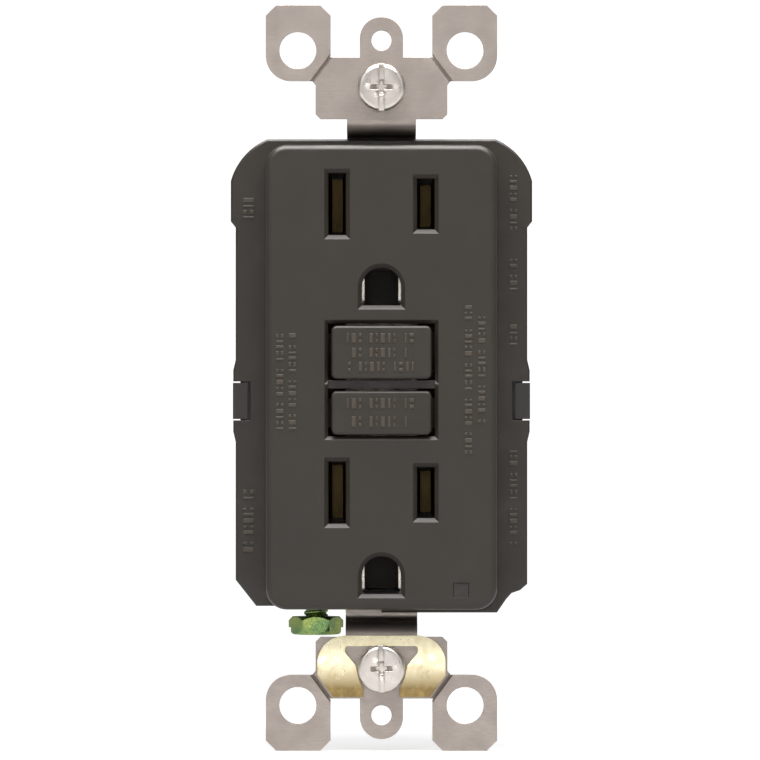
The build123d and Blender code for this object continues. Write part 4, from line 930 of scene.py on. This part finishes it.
class RECEPTACLE_OT_face_marks(bpy.types.Operator):
    """Raise blank marks on the face, the buttons and the shoulder, where such a device carries words"""

    bl_idname = "receptacle.face_marks"
    bl_label = "Build Blank Marks"
    bl_options = {"REGISTER", "UNDO"}

    def execute(self, context):
        colours = settings().colours
        grain = {"rough": 0.4, "grain": 8.0, "height": 0.004}
        # the face and shoulder marks carry a painted highlight
        plain = finish("mark_plastic", moulded, shade(colours.cover, MARK_HIGHLIGHT_SHARE), **grain)
        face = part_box("front_cover")[0][1]
        upright = (("face_marks", FACE_LINES, face), ("shoulder_marks", SHOULDER_LINES, SHOULDER_Y))
        for name, lines, y in upright:
            rects = []
            for start, end, edges, seed in lines:
                rects += blank_line(start, end, edges, True, seed)
            self.raise_marks(name, rects, y, "receptacle", "cover_plastic", plain)
        # the button marks carry the same painted highlight
        button_mark_highlight = finish("button_mark_plastic", moulded, shade(colours.button, MARK_HIGHLIGHT_SHARE), **grain)
        for body, rows in BUTTON_ROWS.items():
            rects = []
            for n, (half, edges) in enumerate(rows):
                rects += blank_line(-half, half, edges, False, n + 2)
            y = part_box(f"{body}_button")[0][1]
            self.raise_marks(f"{body}_marks", rects, y, body, "button_plastic", button_mark_highlight)
        return {"FINISHED"}

    def raise_marks(self, name, rects, y, body, slot, material):
        """One piece of marks that stand off a face at y."""
        piece(name, bars(name, rects, y - settings().marks.relief, y + SUNK), body, material)


# ---------------------------------------------------------------- windings
COIL_WIRE = 0.28 * MM
COIL_INNER_R = 2.7 * MM
COIL_STEPS = 28
COIL_OVERLAP = 1.04
COIL_WIRE_SIDES, CORE_WIRE_SIDES = 5, 4
SLEEVE_SEGMENTS, CORE_SEGMENTS = 40, 64
CORE_INNER_R = 3.5 * MM
CORE_WIRE = 0.22 * MM
CORE_TURNS = 84
CORE_STEPS = 20
CORE_SQUARENESS = 0.55


def core_section():
    """The rounded square that a sensor's wire runs round, as shares of its half width and half height."""
    corners = []
    for k in range(CORE_STEPS):
        turn = 2 * math.pi * k / CORE_STEPS
        pair = (math.cos(turn), math.sin(turn))
        corners.append(tuple(math.copysign(abs(v) ** CORE_SQUARENESS, v) for v in pair))
    return corners


class RECEPTACLE_OT_windings(bpy.types.Operator):
    """Wind the solenoid and the two sensor cores with wire"""

    bl_idname = "receptacle.windings"
    bl_label = "Build Windings"
    bl_options = {"REGISTER", "UNDO"}

    def execute(self, context):
        copper = finish("copper_wire", plated, settings().colours.copper, rough=0.25, streak=(1, 1, 1))
        self.wind_solenoid(copper)
        tape = finish("core_tape", moulded, CORE_TAPE, rough=0.4, grain=2.0, height=0.01)
        for place in ("front", "rear"):
            self.wind_core(place, tape, copper)
        return {"FINISHED"}

    def wind_solenoid(self, copper):
        """One layer of wire over a plain sleeve, on an upright axis."""
        low, high = (Vector(corner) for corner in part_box("coil_winding"))
        middle = (low.y + high.y) / 2
        radius = (high.x - low.x) / 2 - COIL_WIRE / 2
        steps = int((high.z - low.z) / COIL_WIRE) * COIL_STEPS
        path = []
        for k in range(steps + 1):
            turn = 2 * math.pi * k / COIL_STEPS
            z = low.z + COIL_WIRE / 2 + (high.z - low.z - COIL_WIRE) * k / steps
            path.append(Vector((radius * math.cos(turn), middle + radius * math.sin(turn), z)))
        corners = [(COIL_INNER_R, low.z), (radius, low.z), (radius, high.z), (COIL_INNER_R, high.z)]
        sleeve = spun("sleeve", [*corners, corners[0]], SLEEVE_SEGMENTS)
        sleeve.transform(Matrix.Translation((0, middle, 0)))
        wire = tube("coil_wire", path, COIL_WIRE / 2 * COIL_OVERLAP, COIL_WIRE_SIDES)
        mesh = joined("copper_coil", [wire, sleeve])
        piece("copper_coil", mesh, "receptacle", copper, ("coil_winding",))

    def wind_core(self, place, tape, copper):
        """A taped ring with wire wound round its section, its axis along Y."""
        name, node = f"wound_core_{place}", f"sensor_{place}_core"
        low, high = (Vector(corner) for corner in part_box(node))
        centre, outer = (low + high) / 2, (high.x - low.x) / 2
        middle = (outer + CORE_INNER_R) / 2
        a, b = (outer - CORE_INNER_R) / 2, (high.y - low.y) / 2
        section = core_section()
        profile = [(middle + u * (a - CORE_WIRE), v * (b - CORE_WIRE)) for u, v in section]
        core = spun("core", [*profile, profile[0]], CORE_SEGMENTS)
        core.transform(Matrix.Translation(centre) @ Matrix.Rotation(math.pi / 2, 4, "X"))
        steps = CORE_TURNS * CORE_STEPS
        path = []
        for n in range(steps + 1):
            u, v = section[n % CORE_STEPS]
            turn = 2 * math.pi * n / steps
            r = middle + u * (a - CORE_WIRE / 2)
            spot = (r * math.cos(turn), v * (b - CORE_WIRE / 2), r * math.sin(turn))
            path.append(centre + Vector(spot))
        mesh = joined(name, [core, tube("sensor_wire", path, CORE_WIRE / 2, CORE_WIRE_SIDES)])
        wound = piece(name, mesh, "receptacle", tape, (node,))
        wound.data.materials.append(copper)
        taped = len(core.polygons)
        for face in wound.data.polygons:
            face.material_index = int(face.index >= taped)


# ---------------------------------------------------------------- stage
FLOOR_HALF = 0.6
FLOOR_FRONT, FLOOR_BACK = -0.5, 0.6
FLOOR_GAP = 0.02 * MM
FLOOR_GREY, FLOOR_LIGHT_GREY = (0.7, 0.7, 0.7), (0.74, 0.74, 0.74)
FLOOR_GLOW = 0.62
WHITE = (1, 1, 1, 1)
SEEN_ROOM = 1.1
SENSOR_WIDTH = 36
CLIP_END = 10
STRAP_FRONT = -1.3 * MM


def lamp(name, power, size, at, aim=(0, 0, 0)):
    """A rectangular lamp at a place, turned to what it aims at."""
    data = bpy.data.lights.new(name, "AREA")
    data.energy, data.shape = power, "RECTANGLE"
    data.size, data.size_y = size
    light = new_object(name, data)
    light.location = at
    light.rotation_euler = (Vector(aim) - Vector(at)).to_track_quat("-Z", "Y").to_euler()
    return light


def link_lamp(light, name, obj, spare=False):
    """Keeps a lamp to one object, or spares that object its light."""
    linked = bpy.data.collections.new(name)
    light.light_linking.receiver_collection = linked
    linked.objects.link(obj)
    if spare:
        linked.collection_objects[0].light_linking.link_state = "EXCLUDE"


def pale_floor(height):
    """A floor that glows enough to stay as light as the room."""
    x, front, back = FLOOR_HALF, FLOOR_FRONT, FLOOR_BACK
    mesh = mesh_from("floor", [(-x, front, 0), (x, front, 0), (x, back, 0), (-x, back, 0)], [(0, 1, 2, 3)])
    floor = new_object("pale_floor", mesh)
    floor.location.z = height - FLOOR_GAP
    paint = Shader("floor_paint")
    paint.link(paint.mixed(paint.noise(0.02), FLOOR_GREY, FLOOR_LIGHT_GREY), "Base Color")
    paint.fix(Roughness=0.9, Emission_Color=WHITE, Emission_Strength=FLOOR_GLOW)
    mesh.materials.append(paint.material)
    return floor


def white_room(strength):
    """A white room that lights by its strength and is seen at full white."""
    world = bpy.data.worlds.new("white_room")
    bpy.context.scene.world = world
    world.use_nodes = True
    nodes, links = world.node_tree.nodes, world.node_tree.links
    room, seen = nodes["Background"], nodes.new("ShaderNodeBackground")
    for shader, value in ((room, strength), (seen, SEEN_ROOM)):
        shader.inputs["Color"].default_value = WHITE
        shader.inputs["Strength"].default_value = value
    pick, mix = nodes.new("ShaderNodeLightPath"), nodes.new("ShaderNodeMixShader")
    links.new(pick.outputs["Is Camera Ray"], mix.inputs[0])
    links.new(room.outputs[0], mix.inputs[1])
    links.new(seen.outputs[0], mix.inputs[2])
    links.new(mix.outputs[0], nodes["World Output"].inputs["Surface"])


def set_camera(stage):
    """A level camera straight in front, as wide as the view at the strap's front."""
    eye = bpy.data.cameras.new("camera")
    eye.sensor_width = SENSOR_WIDTH
    eye.lens = eye.sensor_width * (stage.distance + STRAP_FRONT) / stage.width
    eye.clip_end = CLIP_END
    camera = new_object("camera", eye)
    camera.location = (stage.shift_x, -stage.distance, stage.shift_z)
    camera.rotation_euler = (math.pi / 2, 0, 0)
    bpy.context.scene.camera = camera


class RECEPTACLE_OT_stage(bpy.types.Operator):
    """Set the floor, the light and the camera"""

    bl_idname = "receptacle.stage"
    bl_label = "Set Stage"
    bl_options = {"REGISTER", "UNDO"}

    def execute(self, context):
        stage = settings().stage
        top, front = stage.top_power, stage.front_power
        floor = pale_floor(CAD_BOX[0][2])
        overhead = lamp("overhead", top, (0.5, 0.36), (0.0, -0.06, 0.42))
        link_lamp(overhead, "lit_from_above", floor, spare=True)
        lamp("front_left", front, (0.5, 0.7), (-0.55, -0.75, 0.3))
        lamp("front_right", front * 0.65, (0.5, 0.7), (0.6, -0.7, 0.2))
        lamp("above_front", top * 0.33, (0.5, 0.12), (0.0, -0.32, 0.4))
        lamp("head_on", front * 0.7, (0.2, 0.2), (0.0, -1.45, 0.06))
        glint = lamp("clip_glint", front * 0.1, (0.3, 0.16), (0.0, -0.5, 0.2), (0, 0, -0.04))
        link_lamp(glint, "lit_by_glint", NODES["grounding_clip"])
        lamp("rear", front * 0.8, (0.8, 0.6), (0.0, 0.8, 0.5))
        white_room(stage.sky)
        set_camera(stage)
        context.scene.view_settings.view_transform = "Standard"
        context.scene.view_settings.look = "None"
        return {"FINISHED"}


# ---------------------------------------------------------------- panel and registration
class RECEPTACLE_PT_panel(bpy.types.Panel):
    """The receptacle's tools"""

    bl_idname = "RECEPTACLE_PT_panel"
    bl_label = "Duplex Receptacle"
    bl_space_type = "VIEW_3D"
    bl_region_type = "UI"
    bl_category = "Receptacle"

    def draw(self, context):
        layout = self.layout
        for operator in OPERATORS:
            layout.operator(operator.bl_idname)
        for group in (settings().screws, settings().marks, settings().colours, settings().stage):
            box = layout.box()
            for key in group.__annotations__:
                box.prop(group, key)


GROUPS = (
    ReceptacleScrewSizes,
    ReceptacleMarkSizes,
    ReceptacleColours,
    ReceptacleStageSizes,
    ReceptacleSettings,
)
OPERATORS = (
    RECEPTACLE_OT_stage,
    RECEPTACLE_OT_mouldings,
    RECEPTACLE_OT_metals,
    RECEPTACLE_OT_electronics,
    RECEPTACLE_OT_mounting_screws,
    RECEPTACLE_OT_terminal_screws,
    RECEPTACLE_OT_assembly_screws,
    RECEPTACLE_OT_ground_screw,
    RECEPTACLE_OT_face_marks,
    RECEPTACLE_OT_windings,
)


def register():
    """Registers the groups, the operators and the panel."""
    for group in (*GROUPS, *OPERATORS, RECEPTACLE_PT_panel):
        bpy.utils.register_class(group)
    bpy.types.Scene.receptacle = PointerProperty(type=ReceptacleSettings)


def unregister():
    """Takes them away again."""
    del bpy.types.Scene.receptacle
    for group in reversed((*GROUPS, *OPERATORS, RECEPTACLE_PT_panel)):
        bpy.utils.unregister_class(group)


def main():
    """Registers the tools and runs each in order."""
    register()
    for operator in OPERATORS:
        call = operator.bl_idname.split(".")[1]
        getattr(bpy.ops.receptacle, call)()


if __name__ == "__main__":
    main()
